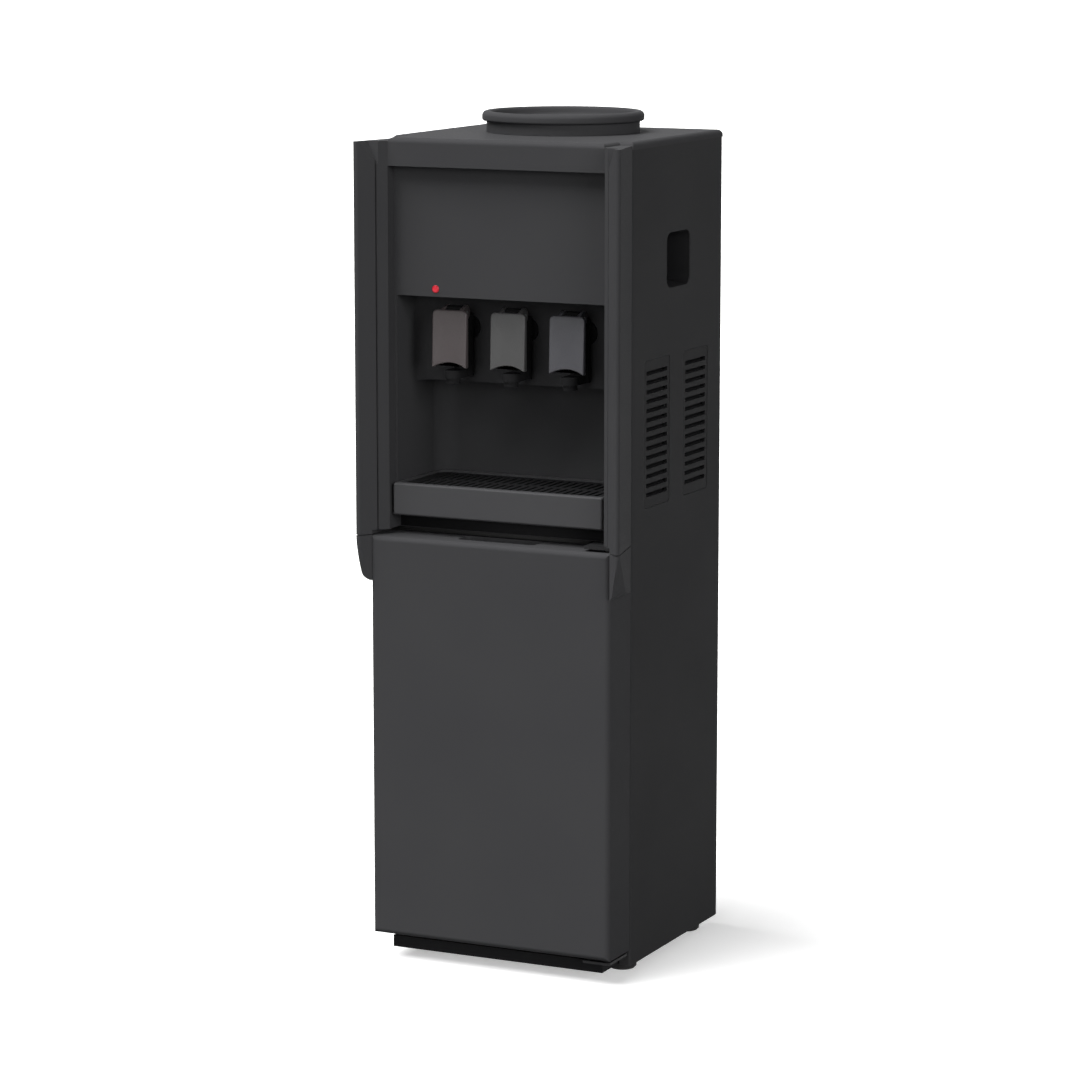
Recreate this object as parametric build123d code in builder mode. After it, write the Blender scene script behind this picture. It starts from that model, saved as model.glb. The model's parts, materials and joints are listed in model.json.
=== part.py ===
from build123d import *
import os

os.makedirs("parts", exist_ok=True)

# Free-standing water dispenser with a bottle seat on top, three push taps and a storage cabinet.
# Millimetres, +Z up, the front faces -Y, the origin is on the floor under the middle of the box.

# Overall sizes
body_width = 310.0  # across the side panels
rim_width = 340.0  # across the flared rims of the cheeks
total_depth = 334.0  # front of the rims to the rear edges of the side panels
rim_forward = 10.0  # the rims stand this far in front of the door
foot_height = 12.0  # floor to the lower edge of the side panels
side_top_z = 973.0  # upper edge of the side panels
cheek_rise = 5.0  # the cheeks stand this far over the side panels
cover_rise = 9.0  # the top cover over the side panels
collar_rise = 25.0  # the bottle collar over the top cover

# Heights along the front
door_low_z = 32.0
head_height = 458.0  # upper edge of the door to the top of the side panels
parting_gap = 6.0  # door to the housing above it
recess_height = 19.0  # finger recess over the door
bulkhead_height = 107.0  # wall that carries the taps
fascia_height = 152.0  # top of the alcove to the top bar
top_bar_height = 24.0

# Set-backs, measured from the face of the door
frame_back = 19.0  # bars of the front housing
tray_back = 21.0  # front bar of the drip tray
plinth_back = 20.0
lip_back = 45.0  # rear wall of the finger recess
fascia_back = 35.0
seam_back = 59.0  # rear edges of the door and the cheeks
seam_gap = 3.0  # shadow gap in front of the side panels
bulkhead_back = 105.0

# Depths, measured forward from the rear edges of the side panels
alcove_ahead = 174.0
collar_ahead = 120.0  # axis of the bottle seat

# Walls and clearances
sheet = 1.2  # painted steel
housing_wall = 3.0
door_wall = 2.5
liner_wall = 2.5
fit_gap = 0.3  # between pieces that slide or lift apart
pin_gap = 0.05  # radial, a pin in the piece that turns on it
press_gap = 0.02  # radial, a pin in the piece that holds it

body_half = body_width / 2
rim_half = rim_width / 2
door_y = rim_forward - total_depth / 2
rear_y = total_depth / 2
frame_y = door_y + frame_back
fascia_y = door_y + fascia_back
seam_front_y = door_y + seam_back
seam_rear_y = seam_front_y + seam_gap
bulkhead_y = door_y + bulkhead_back
alcove_y = rear_y - alcove_ahead
collar_y = rear_y - collar_ahead
door_high_z = side_top_z - head_height
housing_low_z = door_high_z + parting_gap
alcove_floor_z = housing_low_z + recess_height
top_bar_z = side_top_z - top_bar_height
alcove_top_z = top_bar_z - fascia_height
bulkhead_low_z = alcove_top_z - bulkhead_height
cover_top_z = side_top_z + cover_rise
collar_top_z = cover_top_z + collar_rise
inside_half = body_half - sheet
wing_root_x = min(body_half, rim_half) - door_wall / 2  # inner side of the flare beside the door


def wall_at(y):
    # Sketch plane at depth y, with X and Z as its axes; a positive extrusion comes forward
    return Plane.XZ.offset(-y)


def side_at(x):
    # Sketch plane at x, with Y and Z as its axes; a positive extrusion goes to the right
    return Plane.YZ.offset(x)


def level(z):
    # Sketch plane at height z; a positive extrusion goes up
    return Plane.XY.offset(z)


def save(piece, name):
    piece.part.label = name
    export_step(piece.part, "parts/" + name + ".step")


# Side panels: painted sheet, folded to a flange in front and to a column with a seat behind
flange_width = 14.0
column_width = 12.0
column_depth = 26.0
seat_width = 12.0
column_x = body_half - column_width
back_seat_y = rear_y - column_depth
vent_width = 74.0
vent_height = 174.0
vent_corner = 5.0
vent_drop = 333.0  # middle of the vents under the top of the side panels
vent_pitch = 113.0
vent_ahead = 3.5  # the pair of vents in front of the panel's middle
grip_width = 69.0
grip_height = 65.0
grip_corner = 12.0
grip_drop = 12.0  # under the middle of the sheet over the vents
bend_radius = 3.0
panel_middle_y = (seam_rear_y + rear_y) / 2
vent_middle_y = panel_middle_y - vent_ahead
vent_middle_z = side_top_z - vent_drop
vent_places = [(vent_middle_y + way * vent_pitch / 2, vent_middle_z) for way in (-1, 1)]
grip_middle_z = (vent_middle_z + vent_height / 2 + side_top_z) / 2 - grip_drop
grip_place = (panel_middle_y, grip_middle_z)

with BuildPart() as right_side_panel:
    with BuildSketch(level(foot_height)):
        with BuildLine():
            FilletPolyline(
                (body_half - flange_width, seam_rear_y),
                (body_half, seam_rear_y),
                (body_half, rear_y),
                (column_x, rear_y),
                (column_x, back_seat_y),
                (column_x - seat_width, back_seat_y),
                radius=bend_radius,
            )
            offset(amount=sheet, side=Side.LEFT, kind=Kind.INTERSECTION)
        make_face()
    extrude(amount=side_top_z - foot_height)
    with BuildSketch(side_at(body_half)):
        with Locations(*vent_places):
            RectangleRounded(vent_width, vent_height, vent_corner)
        with Locations(grip_place):
            RectangleRounded(grip_width, grip_height, grip_corner)
    extrude(amount=-2 * sheet, mode=Mode.SUBTRACT)
save(right_side_panel, "right_side_panel")

with BuildPart() as left_side_panel:
    mirror(right_side_panel.part, about=Plane.YZ)
save(left_side_panel, "left_side_panel")

# Vent grilles: moulded plates behind the sheet, with a raised field of slots in each opening
grille_lip = 5.0
grille_plate = 2.0
grille_set_back = 0.4
slot_height = 5.0
slot_pitch = 11.0
slot_margin = 7.0
slot_count = int((vent_height - 2 * slot_margin) // slot_pitch)

with BuildPart() as right_vent_grilles:
    with BuildSketch(side_at(inside_half)):
        with Locations(*vent_places):
            RectangleRounded(vent_width + 2 * grille_lip, vent_height + 2 * grille_lip, vent_corner)
    extrude(amount=-grille_plate)
    with BuildSketch(side_at(inside_half)):
        with Locations(*vent_places):
            RectangleRounded(vent_width - 2 * fit_gap, vent_height - 2 * fit_gap, vent_corner)
    extrude(amount=sheet - grille_set_back)
    with BuildSketch(side_at(body_half)):
        with Locations(*vent_places):
            with GridLocations(0, slot_pitch, 1, slot_count):
                Rectangle(vent_width - 2 * slot_margin, slot_height)
    extrude(amount=-2 * (sheet + grille_plate), mode=Mode.SUBTRACT)
save(right_vent_grilles, "right_vent_grilles")

with BuildPart() as left_vent_grilles:
    mirror(right_vent_grilles.part, about=Plane.YZ)
save(left_vent_grilles, "left_vent_grilles")

# Grip pockets: tapered cups behind the sheet, for lifting the dispenser by hand
grip_depth = 26.0
grip_wall = 2.0
grip_taper = 10.0
grip_lip = 4.0

with BuildPart() as right_grip_pocket:
    with BuildSketch(side_at(inside_half)):
        with Locations(grip_place):
            RectangleRounded(grip_width + 2 * grip_lip, grip_height + 2 * grip_lip, grip_corner)
    extrude(amount=-grip_wall)
    with BuildSketch(side_at(inside_half)):
        with Locations(grip_place):
            RectangleRounded(grip_width + 2 * grip_wall, grip_height + 2 * grip_wall, grip_corner)
    extrude(amount=-grip_depth - grip_wall, taper=grip_taper)
    with BuildSketch(side_at(inside_half)):
        with Locations(grip_place):
            RectangleRounded(grip_width, grip_height, grip_corner)
    extrude(amount=-grip_depth, taper=grip_taper, mode=Mode.SUBTRACT)
save(right_grip_pocket, "right_grip_pocket")

with BuildPart() as left_grip_pocket:
    mirror(right_grip_pocket.part, about=Plane.YZ)
save(left_grip_pocket, "left_grip_pocket")

# Base plate: a pan turned upside down, narrower in front where it forms the plinth
base_height = 14.0
base_wall = 2.0
plinth_inset = 17.0
plinth_width = body_width - 2 * plinth_inset
base_top_z = foot_height + base_height
plinth_y = door_y + plinth_back
base_front_y = seam_rear_y + bend_radius
base_rear_y = back_seat_y - sheet

with BuildPart() as base_plate:
    with BuildSketch(level(foot_height)):
        with Locations((0, (plinth_y + base_rear_y) / 2)):
            Rectangle(plinth_width, base_rear_y - plinth_y)
        with Locations((0, (base_front_y + base_rear_y) / 2)):
            Rectangle(2 * inside_half, base_rear_y - base_front_y)
    extrude(amount=base_height)
    offset(amount=-base_wall, openings=base_plate.faces().sort_by(Axis.Z)[0])
save(base_plate, "base_plate")

# Feet: rubber pads on stems that stand against the underside of the base plate
foot_radius = 17.0
foot_edge = 2.5
stem_radius = 8.0
foot_inset = 25.0
foot_back = 95.0  # front pair, from the door's face
foot_ahead = 40.0  # rear pair, from the rear edges
foot_x = body_half - foot_inset
foot_places = [(x, y) for x in (-foot_x, foot_x) for y in (door_y + foot_back, rear_y - foot_ahead)]

with BuildPart() as feet:
    with BuildSketch():
        with Locations(*foot_places):
            Circle(foot_radius)
    extrude(amount=foot_height)
    chamfer(feet.edges().group_by(Axis.Z)[0], foot_edge)
    with BuildSketch(level(foot_height)):
        with Locations(*foot_places):
            Circle(stem_radius)
    extrude(amount=base_height - base_wall)
save(feet, "feet")

# Cheeks: flared mouldings along both front edges, with a bevel that falls in to the housing
cheek_width = 16.0  # at the seam
nose_radius = 4.0  # the rolled rim
groove_along = 22.0  # rim to the groove in the bevel
groove_width = 2.4
groove_depth = 2.5
cheek_wall = 5.0
facet_drop = 28.0  # the sloping end at the top of the bevel
facet_width = 25.0
wing_gap = 1.2  # the outer side of a cheek comes down this close to the door
inner_half = body_half - cheek_width  # inner face of a cheek
cheek_top_z = side_top_z + cheek_rise
nose_middle = Vector(rim_half - nose_radius, door_y - rim_forward + nose_radius)
inner_point = Vector(inner_half, frame_y)
cheek_back_point = Vector(inner_half, seam_front_y)
seam_point = Vector(body_half, seam_front_y)

# The bevel is the line from the inner edge that touches the rolled rim
nose_way = (inner_point - nose_middle).normalized()
nose_across = Vector(-nose_way.Y, nose_way.X)
nose_share = nose_radius / (inner_point - nose_middle).length
bevel_outward = nose_way * nose_share + nose_across * (1 - nose_share**2) ** 0.5
bevel_start = nose_middle + bevel_outward * nose_radius
bevel_along = (inner_point - bevel_start).normalized()
groove_point = bevel_start + bevel_along * groove_along
bevel_plane = Plane(
    origin=(bevel_start.X, bevel_start.Y, cheek_top_z), x_dir=bevel_along, z_dir=bevel_outward
)

with BuildSketch() as cheek_section:
    with Locations(nose_middle):
        Circle(nose_radius)
    Polygon(inner_point, cheek_back_point, seam_point, align=None)
    make_hull()

with BuildPart() as right_cheek:
    with BuildSketch(level(housing_low_z)):
        add(cheek_section.sketch)
        Polygon(
            groove_point - bevel_along * (groove_width / 2),
            groove_point - bevel_outward * groove_depth,
            groove_point + bevel_along * (groove_width / 2),
            align=None,
            mode=Mode.SUBTRACT,
        )
    extrude(amount=cheek_top_z - housing_low_z)
    with BuildSketch(level(housing_low_z + cheek_wall)):
        Polygon(bevel_start, inner_point, cheek_back_point, seam_point, align=None)
        offset(amount=-cheek_wall, kind=Kind.INTERSECTION)
        with Locations(((inner_half + body_half) / 2, seam_front_y - cheek_wall / 2)):
            Rectangle(body_half - inner_half - cheek_wall, 2 * cheek_wall)
    extrude(amount=cheek_top_z - housing_low_z - 2 * cheek_wall - facet_drop, mode=Mode.SUBTRACT)
    with BuildSketch(bevel_plane):
        Polygon(
            (0, 0),
            (facet_width, facet_drop),
            (facet_width, -2 * facet_drop),
            (0, -2 * facet_drop),
            align=None,
        )
    extrude(amount=-facet_width / 3, taper=45, mode=Mode.SUBTRACT)
    # Lip beside the door, outside the hinge
    with BuildSketch(level(housing_low_z)):
        add(cheek_section.sketch)
        with Locations((wing_root_x + rim_width / 2, door_y)):
            Rectangle(rim_width, 2 * total_depth, mode=Mode.INTERSECT)
    extrude(amount=wing_gap - parting_gap)
save(right_cheek, "right_cheek")

with BuildPart() as left_cheek:
    mirror(right_cheek.part, about=Plane.YZ)
save(left_cheek, "left_cheek")

# Front housing: one moulding with the top bar, the bare fascia, the alcove and the finger recess
alcove_corner = 24.0
tap_pitch = 76.0
shank_radius = 8.0
shank_drop = 42.0  # under the top of the alcove
lens_radius = 4.5
lens_x = -85.0
lens_rise = 9.0  # over the top of the alcove
ledge_depth = 12.0  # rear flange that lies on the storage liner
tray_bar_depth = 6.0
tap_shank_z = alcove_top_z - shank_drop
tap_places = [(-tap_pitch, tap_shank_z), (0, tap_shank_z), (tap_pitch, tap_shank_z)]
tap_names = ("hot", "room", "cold")
alcove_half = inner_half - housing_wall
lip_y = door_y + lip_back
tray_y = door_y + tray_back
floor_front_y = tray_y + tray_bar_depth + fit_gap
lens_z = alcove_top_z + lens_rise

with BuildPart() as front_housing:
    # Top bar and fascia, a wall that steps back
    with BuildSketch(Plane.YZ):
        with BuildLine():
            Polyline(
                (seam_front_y, side_top_z),
                (frame_y, side_top_z),
                (frame_y, top_bar_z),
                (fascia_y, top_bar_z),
                (fascia_y, alcove_top_z),
            )
            offset(amount=housing_wall, side=Side.LEFT, kind=Kind.INTERSECTION)
        make_face()
    extrude(amount=inner_half, both=True)
    # Finger recess over the door, and the front of the alcove's floor
    with BuildSketch(Plane.YZ):
        with BuildLine():
            Polyline(
                (seam_rear_y + ledge_depth, housing_low_z),
                (lip_y, housing_low_z),
                (lip_y, alcove_floor_z - housing_wall),
                (floor_front_y, alcove_floor_z - housing_wall),
            )
            offset(amount=housing_wall, side=Side.RIGHT, kind=Kind.INTERSECTION)
        make_face()
    extrude(amount=inner_half, both=True)
    # Alcove, with a bulkhead for the taps in its upper part
    with BuildSketch(level(alcove_floor_z - housing_wall)):
        with Locations((0, (fascia_y + alcove_y + housing_wall) / 2)):
            Rectangle(2 * inner_half, alcove_y + housing_wall - fascia_y)
    extrude(amount=alcove_top_z - alcove_floor_z + 2 * housing_wall)
    for low_z, high_z, end_y in (
        (alcove_floor_z, bulkhead_low_z, alcove_y),
        (bulkhead_low_z, alcove_top_z, bulkhead_y),
    ):
        with BuildSketch(level(low_z)) as pocket:
            with Locations((0, (frame_y + end_y) / 2)):
                Rectangle(2 * alcove_half, end_y - frame_y)
            fillet(pocket.vertices().group_by(Axis.Y)[-1], alcove_corner)
        extrude(amount=high_z - low_z, mode=Mode.SUBTRACT)
    # Space behind the bulkhead, open to the rear and the top
    with BuildSketch(level(bulkhead_low_z + housing_wall)):
        with Locations((0, (bulkhead_y + alcove_y) / 2 + housing_wall)):
            Rectangle(2 * alcove_half, alcove_y - bulkhead_y)
    extrude(amount=alcove_top_z - bulkhead_low_z, mode=Mode.SUBTRACT)
    # Holes for the tap shanks and the indicator
    with BuildSketch(wall_at(bulkhead_y + 2 * housing_wall)):
        with Locations(*tap_places):
            Circle(shank_radius + press_gap)
    extrude(amount=4 * housing_wall, mode=Mode.SUBTRACT)
    with BuildSketch(wall_at(fascia_y + 2 * housing_wall)):
        with Locations((lens_x, lens_z)):
            Circle(lens_radius + press_gap)
    extrude(amount=4 * housing_wall, mode=Mode.SUBTRACT)
save(front_housing, "front_housing")

# Indicator: a red lens pushed into the fascia from behind
lens_proud = 1.2
lens_flange = 1.0

with BuildPart() as indicator_lens:
    with BuildSketch(wall_at(fascia_y + housing_wall)):
        with Locations((lens_x, lens_z)):
            Circle(lens_radius)
    extrude(amount=housing_wall + lens_proud)
    fillet(indicator_lens.edges().sort_by(Axis.Y)[0], lens_proud)
    with BuildSketch(wall_at(fascia_y + housing_wall)):
        with Locations((lens_x, lens_z)):
            Circle(lens_radius + lens_flange)
    extrude(amount=-lens_flange)
save(indicator_lens, "indicator_lens")

# Taps: a body with a nozzle for each, a push lever in front of it and the pin between them
barrel_back = 90.0  # axis of the barrels
barrel_radius = 12.0
barrel_drop = 25.0  # under the top of the alcove
barrel_length = 73.0
barrel_bore = 36.0
nozzle_back = 62.0  # axis of the nozzles
nozzle_radius = 8.5
nozzle_bore = 4.5
nozzle_length = 6.0
spout_height = 9.0  # the arm from the barrel to the nozzle
spout_root = 10.0
spout_round = 10.5
passage_height = 3.0
neck_radius = 9.5
collar_radius = 15.0
collar_thick = 2.5
shank_length = 18.0
pivot_back = 70.0
pivot_drop = 21.0
pin_radius = 2.0
lug_width = 18.0
lug_round = 8.0
lug_root = 6.0
lever_width = 45.0
lever_length = 69.0
lever_drop = 17.0
lever_back = 52.0
lever_thick = 6.0
lever_corner = 5.0
lever_arch = 7.0  # rise of the hollow in the lower edge
ear_thick = 4.0
ear_gap = 1.0
pin_end = 1.0
barrel_high_z = alcove_top_z - barrel_drop
barrel_low_z = barrel_high_z - barrel_length
pivot_z = alcove_top_z - pivot_drop
lever_high_z = alcove_top_z - lever_drop
lever_low_z = lever_high_z - lever_length
barrel_y = door_y + barrel_back
nozzle_y = door_y + nozzle_back
pivot_y = door_y + pivot_back
lever_y = door_y + lever_back
lever_rear_y = lever_y + lever_thick
ear_x = lug_width / 2 + ear_gap + ear_thick / 2
pin_length = lug_width + 2 * (ear_gap + ear_thick + pin_end)

for tap_name, (tap_x, shank_z) in zip(tap_names, tap_places):
    with BuildPart() as tap_body:
        with BuildSketch(level(barrel_low_z)):
            with Locations((tap_x, barrel_y)):
                Circle(barrel_radius)
        extrude(amount=barrel_length)
        with BuildSketch(wall_at(bulkhead_y)):
            with Locations((tap_x, shank_z)):
                Circle(neck_radius)
        extrude(amount=bulkhead_y - barrel_y)
        with BuildSketch(wall_at(bulkhead_y)):
            with Locations((tap_x, shank_z)):
                Circle(collar_radius)
        extrude(amount=collar_thick)
        with BuildSketch(wall_at(bulkhead_y)):
            with Locations((tap_x, shank_z)):
                Circle(shank_radius)
        extrude(amount=-shank_length)
        with BuildSketch(side_at(tap_x)):
            with Locations((pivot_y, pivot_z)):
                Circle(lug_round)
            with Locations((barrel_y, barrel_high_z - lug_round)):
                Circle(lug_root)
            make_hull()
        extrude(amount=lug_width / 2, both=True)
        # Spout: an arm that brings the nozzle forward, under the lever
        with BuildSketch(level(barrel_low_z)):
            with Locations((tap_x, barrel_y)):
                Circle(spout_root)
            with Locations((tap_x, nozzle_y)):
                Circle(spout_round)
            make_hull()
        extrude(amount=spout_height)
        with BuildSketch(level(barrel_low_z)):
            with Locations((tap_x, nozzle_y)):
                Circle(nozzle_radius)
        extrude(amount=-nozzle_length)
        # Water's way: up the nozzle, along the spout and up the barrel
        passage_low_z = barrel_low_z + (spout_height - passage_height) / 2
        with BuildSketch(level(passage_low_z)):
            with Locations((tap_x, barrel_y), (tap_x, nozzle_y)):
                Circle(nozzle_bore)
            make_hull()
        extrude(amount=passage_height, mode=Mode.SUBTRACT)
        with BuildSketch(level(barrel_low_z - nozzle_length)):
            with Locations((tap_x, nozzle_y)):
                Circle(nozzle_bore)
        extrude(amount=passage_low_z - barrel_low_z + nozzle_length, mode=Mode.SUBTRACT)
        with BuildSketch(level(passage_low_z + passage_height)):
            with Locations((tap_x, barrel_y)):
                Circle(nozzle_bore)
        extrude(amount=barrel_bore, mode=Mode.SUBTRACT)
        with BuildSketch(side_at(tap_x)):
            with Locations((pivot_y, pivot_z)):
                Circle(pin_radius + press_gap)
        extrude(amount=lug_width, both=True, mode=Mode.SUBTRACT)
    save(tap_body, tap_name + "_tap_body")

    with BuildPart() as tap_lever:
        with BuildSketch(wall_at(lever_rear_y)):
            with BuildLine():
                arch_left = (tap_x - lever_width / 2, lever_low_z)
                arch_right = (tap_x + lever_width / 2, lever_low_z)
                Polyline(
                    arch_left,
                    (tap_x - lever_width / 2, lever_high_z),
                    (tap_x + lever_width / 2, lever_high_z),
                    arch_right,
                )
                ThreePointArc(arch_left, (tap_x, lever_low_z + lever_arch), arch_right)
            make_face()
        extrude(amount=lever_thick)
        upright_edges = tap_lever.edges().filter_by(Axis.Y).group_by(Axis.Z)[-1]
        fillet(upright_edges, lever_corner)
        for ear_side in (-1, 1):
            with BuildSketch(side_at(tap_x + ear_side * ear_x)):
                with Locations((pivot_y, pivot_z)):
                    Circle(lever_high_z - pivot_z + lever_corner)
                ear_height = 2 * (lever_high_z - pivot_z)
                with Locations(((pivot_y + lever_rear_y) / 2, pivot_z)):
                    Rectangle(pivot_y - lever_rear_y, ear_height)
            extrude(amount=ear_thick / 2, both=True)
        with BuildSketch(side_at(tap_x)):
            with Locations((pivot_y, pivot_z)):
                Circle(pin_radius + pin_gap)
        extrude(amount=pin_length, both=True, mode=Mode.SUBTRACT)
    save(tap_lever, tap_name + "_tap_lever")

with BuildPart() as tap_lever_pins:
    for tap_x, shank_z in tap_places:
        with BuildSketch(side_at(tap_x)):
            with Locations((pivot_y, pivot_z)):
                Circle(pin_radius)
        extrude(amount=pin_length / 2, both=True)
save(tap_lever_pins, "tap_lever_pins")

# Drip tray: slides in on the alcove's floor, with a bar across its front and a ledge for the grille
tray_height = 36.0  # over the alcove's floor
tray_wall = 2.5
tray_side_gap = 1.6
tray_rear_gap = 7.0
tray_corner = 16.0  # rear corners, clear of the alcove's
tray_ledge = 3.0
grille_thick = 3.0
grille_drop = 3.0  # the grille lies this far under the tray's edge
bar_hang = 2.0  # the bar hangs in front of the floor's edge
bar_round = 2.5
bar_gap = 0.6  # the bar's ends to the alcove's sides
tray_high_z = alcove_floor_z + tray_height
tray_half = alcove_half - tray_side_gap
tray_low_z = alcove_floor_z + fit_gap
tray_rear_y = alcove_y - tray_rear_gap
tray_body_y = tray_y + tray_bar_depth
grille_low_z = tray_high_z - grille_drop - grille_thick
tray_middle_y = (tray_body_y + tray_rear_y) / 2
tray_depth = tray_rear_y - tray_body_y

with BuildPart() as drip_tray:
    with BuildSketch(level(tray_low_z)) as tray_plan:
        with Locations((0, tray_middle_y)):
            Rectangle(2 * tray_half, tray_depth)
        fillet(tray_plan.vertices().group_by(Axis.Y)[-1], tray_corner)
    extrude(amount=tray_high_z - tray_low_z)
    with BuildSketch(wall_at(tray_body_y)):
        bar_low_z = alcove_floor_z - bar_hang
        with Locations((0, (bar_low_z + tray_high_z) / 2)):
            RectangleRounded(2 * (alcove_half - bar_gap), tray_high_z - bar_low_z, bar_round)
    extrude(amount=tray_bar_depth)
    fillet(drip_tray.faces().sort_by(Axis.Y)[0].edges(), bar_round)
    with BuildSketch(level(grille_low_z)) as ledge_plan:
        with Locations((0, tray_middle_y)):
            Rectangle(2 * (tray_half - tray_wall), tray_depth - 2 * tray_wall)
        fillet(ledge_plan.vertices().group_by(Axis.Y)[-1], tray_corner - tray_wall)
    extrude(amount=tray_high_z, mode=Mode.SUBTRACT)
    with BuildSketch(level(tray_low_z + tray_wall)) as well_plan:
        with Locations((0, tray_middle_y)):
            ledge_inset = tray_wall + tray_ledge
            Rectangle(2 * (tray_half - ledge_inset), tray_depth - 2 * ledge_inset)
        fillet(well_plan.vertices().group_by(Axis.Y)[-1], tray_corner - ledge_inset)
    extrude(amount=tray_high_z, mode=Mode.SUBTRACT)
save(drip_tray, "drip_tray")

# Drip grille: a plate with rows of slots that lies on the tray's ledge
grille_slot_width = 4.0
grille_slot_pitch = 10.0
grille_rows = 2
grille_edge = 8.0
grille_half = tray_half - tray_wall - fit_gap
grille_depth = tray_depth - 2 * (tray_wall + fit_gap)
grille_slots = int((2 * grille_half - 2 * grille_edge) // grille_slot_pitch)
row_pitch = (grille_depth - grille_edge) / grille_rows

with BuildPart() as drip_grille:
    with BuildSketch(level(grille_low_z + fit_gap)) as grille_plan:
        with Locations((0, tray_middle_y)):
            Rectangle(2 * grille_half, grille_depth)
        fillet(grille_plan.vertices().group_by(Axis.Y)[-1], tray_corner - tray_wall)
        with Locations((0, tray_middle_y)):
            with GridLocations(grille_slot_pitch, row_pitch, grille_slots, grille_rows):
                Rectangle(grille_slot_width, row_pitch - grille_edge, mode=Mode.SUBTRACT)
    extrude(amount=grille_thick)
save(drip_grille, "drip_grille")

# Storage liner: an open box behind the door, stepped over the compressor
step_ahead = 172.0
step_z = 256.0
liner_ahead = 52.0
liner_half = body_half - flange_width - fit_gap
step_y = rear_y - step_ahead
liner_y = rear_y - liner_ahead

with BuildPart() as cabinet_liner:
    with BuildSketch(Plane.YZ):
        with BuildLine():
            Polyline(
                (seam_rear_y, base_top_z),
                (seam_rear_y, housing_low_z),
                (liner_y, housing_low_z),
                (liner_y, step_z),
                (step_y, step_z),
                (step_y, base_top_z),
                close=True,
            )
        make_face()
    extrude(amount=liner_half, both=True)
    offset(amount=-liner_wall, openings=cabinet_liner.faces().sort_by(Axis.Y)[0])
save(cabinet_liner, "cabinet_liner")

# Door: a deep moulded shell on two pins at its right, with shoulders that carry the flare on down
door_round = 6.0
hinge_inset = 8.0
hinge_back = 14.0
hinge_radius = 4.0
hinge_boss = 7.0
hinge_depth = 18.0  # length of a pin inside the door
shoulder_drop = 54.0
shoulder_round = 10.0  # its lower end
pull_half = 50.0
pull_depth = 16.0
pull_front = 18.0
pull_rear = 46.0
hinge_x = body_half - hinge_inset
hinge_y = door_y + hinge_back
pull_middle_y = door_y + (pull_front + pull_rear) / 2

with BuildPart() as right_shoulder:
    with BuildSketch(level(door_high_z)):
        add(cheek_section.sketch)
    extrude(amount=-shoulder_drop)
    with BuildSketch(wall_at(seam_front_y)):
        with BuildLine():
            shoulder_foot = (body_half, door_high_z - shoulder_drop)
            shoulder_end = ((body_half + rim_half) / 2, door_high_z - shoulder_drop + shoulder_round)
            shoulder_top = (rim_half, door_high_z)
            root_top = (wing_root_x, door_high_z)
            root_foot = (wing_root_x, door_high_z - shoulder_drop)
            shoulder_edge = Line(shoulder_top, shoulder_end)
            TangentArc(shoulder_end, shoulder_foot, tangent=shoulder_edge % 1)
            Polyline(shoulder_foot, root_foot, root_top, shoulder_top)
        make_face()
    extrude(amount=seam_back + rim_forward, mode=Mode.INTERSECT)

with BuildPart() as door_shell:
    with BuildSketch(level(door_low_z)):
        with Locations((0, (door_y + seam_front_y) / 2)):
            Rectangle(body_width, seam_back)
    extrude(amount=door_high_z - door_low_z)
    fillet(door_shell.faces().sort_by(Axis.Y)[0].edges(), door_round)
    offset(amount=-door_wall, openings=door_shell.faces().sort_by(Axis.Y)[-1])
    # Shoulders: the flare of the cheeks, running out down the sides of the door
    add(right_shoulder.part)
    mirror(right_shoulder.part, about=Plane.YZ)
    # Bosses for the hinge pins
    for boss_z, boss_way in ((door_low_z, 1), (door_high_z, -1)):
        with BuildSketch(level(boss_z + boss_way * door_wall)):
            with Locations((hinge_x, hinge_y)):
                Circle(hinge_boss)
            with Locations(((hinge_x + body_half - door_wall) / 2, hinge_y)):
                Rectangle(body_half - door_wall - hinge_x, 2 * hinge_boss)
        extrude(amount=boss_way * hinge_depth)
        with BuildSketch(level(boss_z)):
            with Locations((hinge_x, hinge_y)):
                Circle(hinge_radius + pin_gap)
        extrude(amount=boss_way * hinge_depth, mode=Mode.SUBTRACT)
    # Finger pull in the top edge
    with BuildSketch(level(door_high_z - door_wall)):
        with Locations((0, pull_middle_y)):
            Rectangle(2 * (pull_half + door_wall), pull_rear - pull_front + 2 * door_wall)
    extrude(amount=-pull_depth)
    with BuildSketch(level(door_high_z)):
        with Locations((0, pull_middle_y)):
            RectangleRounded(2 * pull_half, pull_rear - pull_front, door_round)
    extrude(amount=-pull_depth, mode=Mode.SUBTRACT)
save(door_shell, "door_shell")

# Door liner and gasket, on the inside of the door
door_liner_front = 51.0
door_liner_thick = 6.0
door_liner_pan = 4.0
door_liner_border = 34.0
gasket_inset = 9.0
gasket_width = 8.0
liner_plate_y = door_y + door_liner_front + door_liner_thick
door_middle_z = (door_low_z + door_high_z) / 2
door_inner_width = body_width - 2 * door_wall
door_inner_height = door_high_z - door_low_z - 2 * door_wall

with BuildPart() as door_liner:
    with BuildSketch(wall_at(liner_plate_y)):
        with Locations((0, door_middle_z)):
            Rectangle(door_inner_width, door_inner_height)
    extrude(amount=door_liner_thick)
    with BuildSketch(wall_at(liner_plate_y)):
        with Locations((0, door_middle_z)):
            pan_width = door_inner_width - 2 * door_liner_border
            pan_height = door_inner_height - 2 * door_liner_border
            RectangleRounded(pan_width, pan_height, door_liner_border / 2)
    extrude(amount=door_liner_pan, mode=Mode.SUBTRACT)
save(door_liner, "door_liner")

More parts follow.
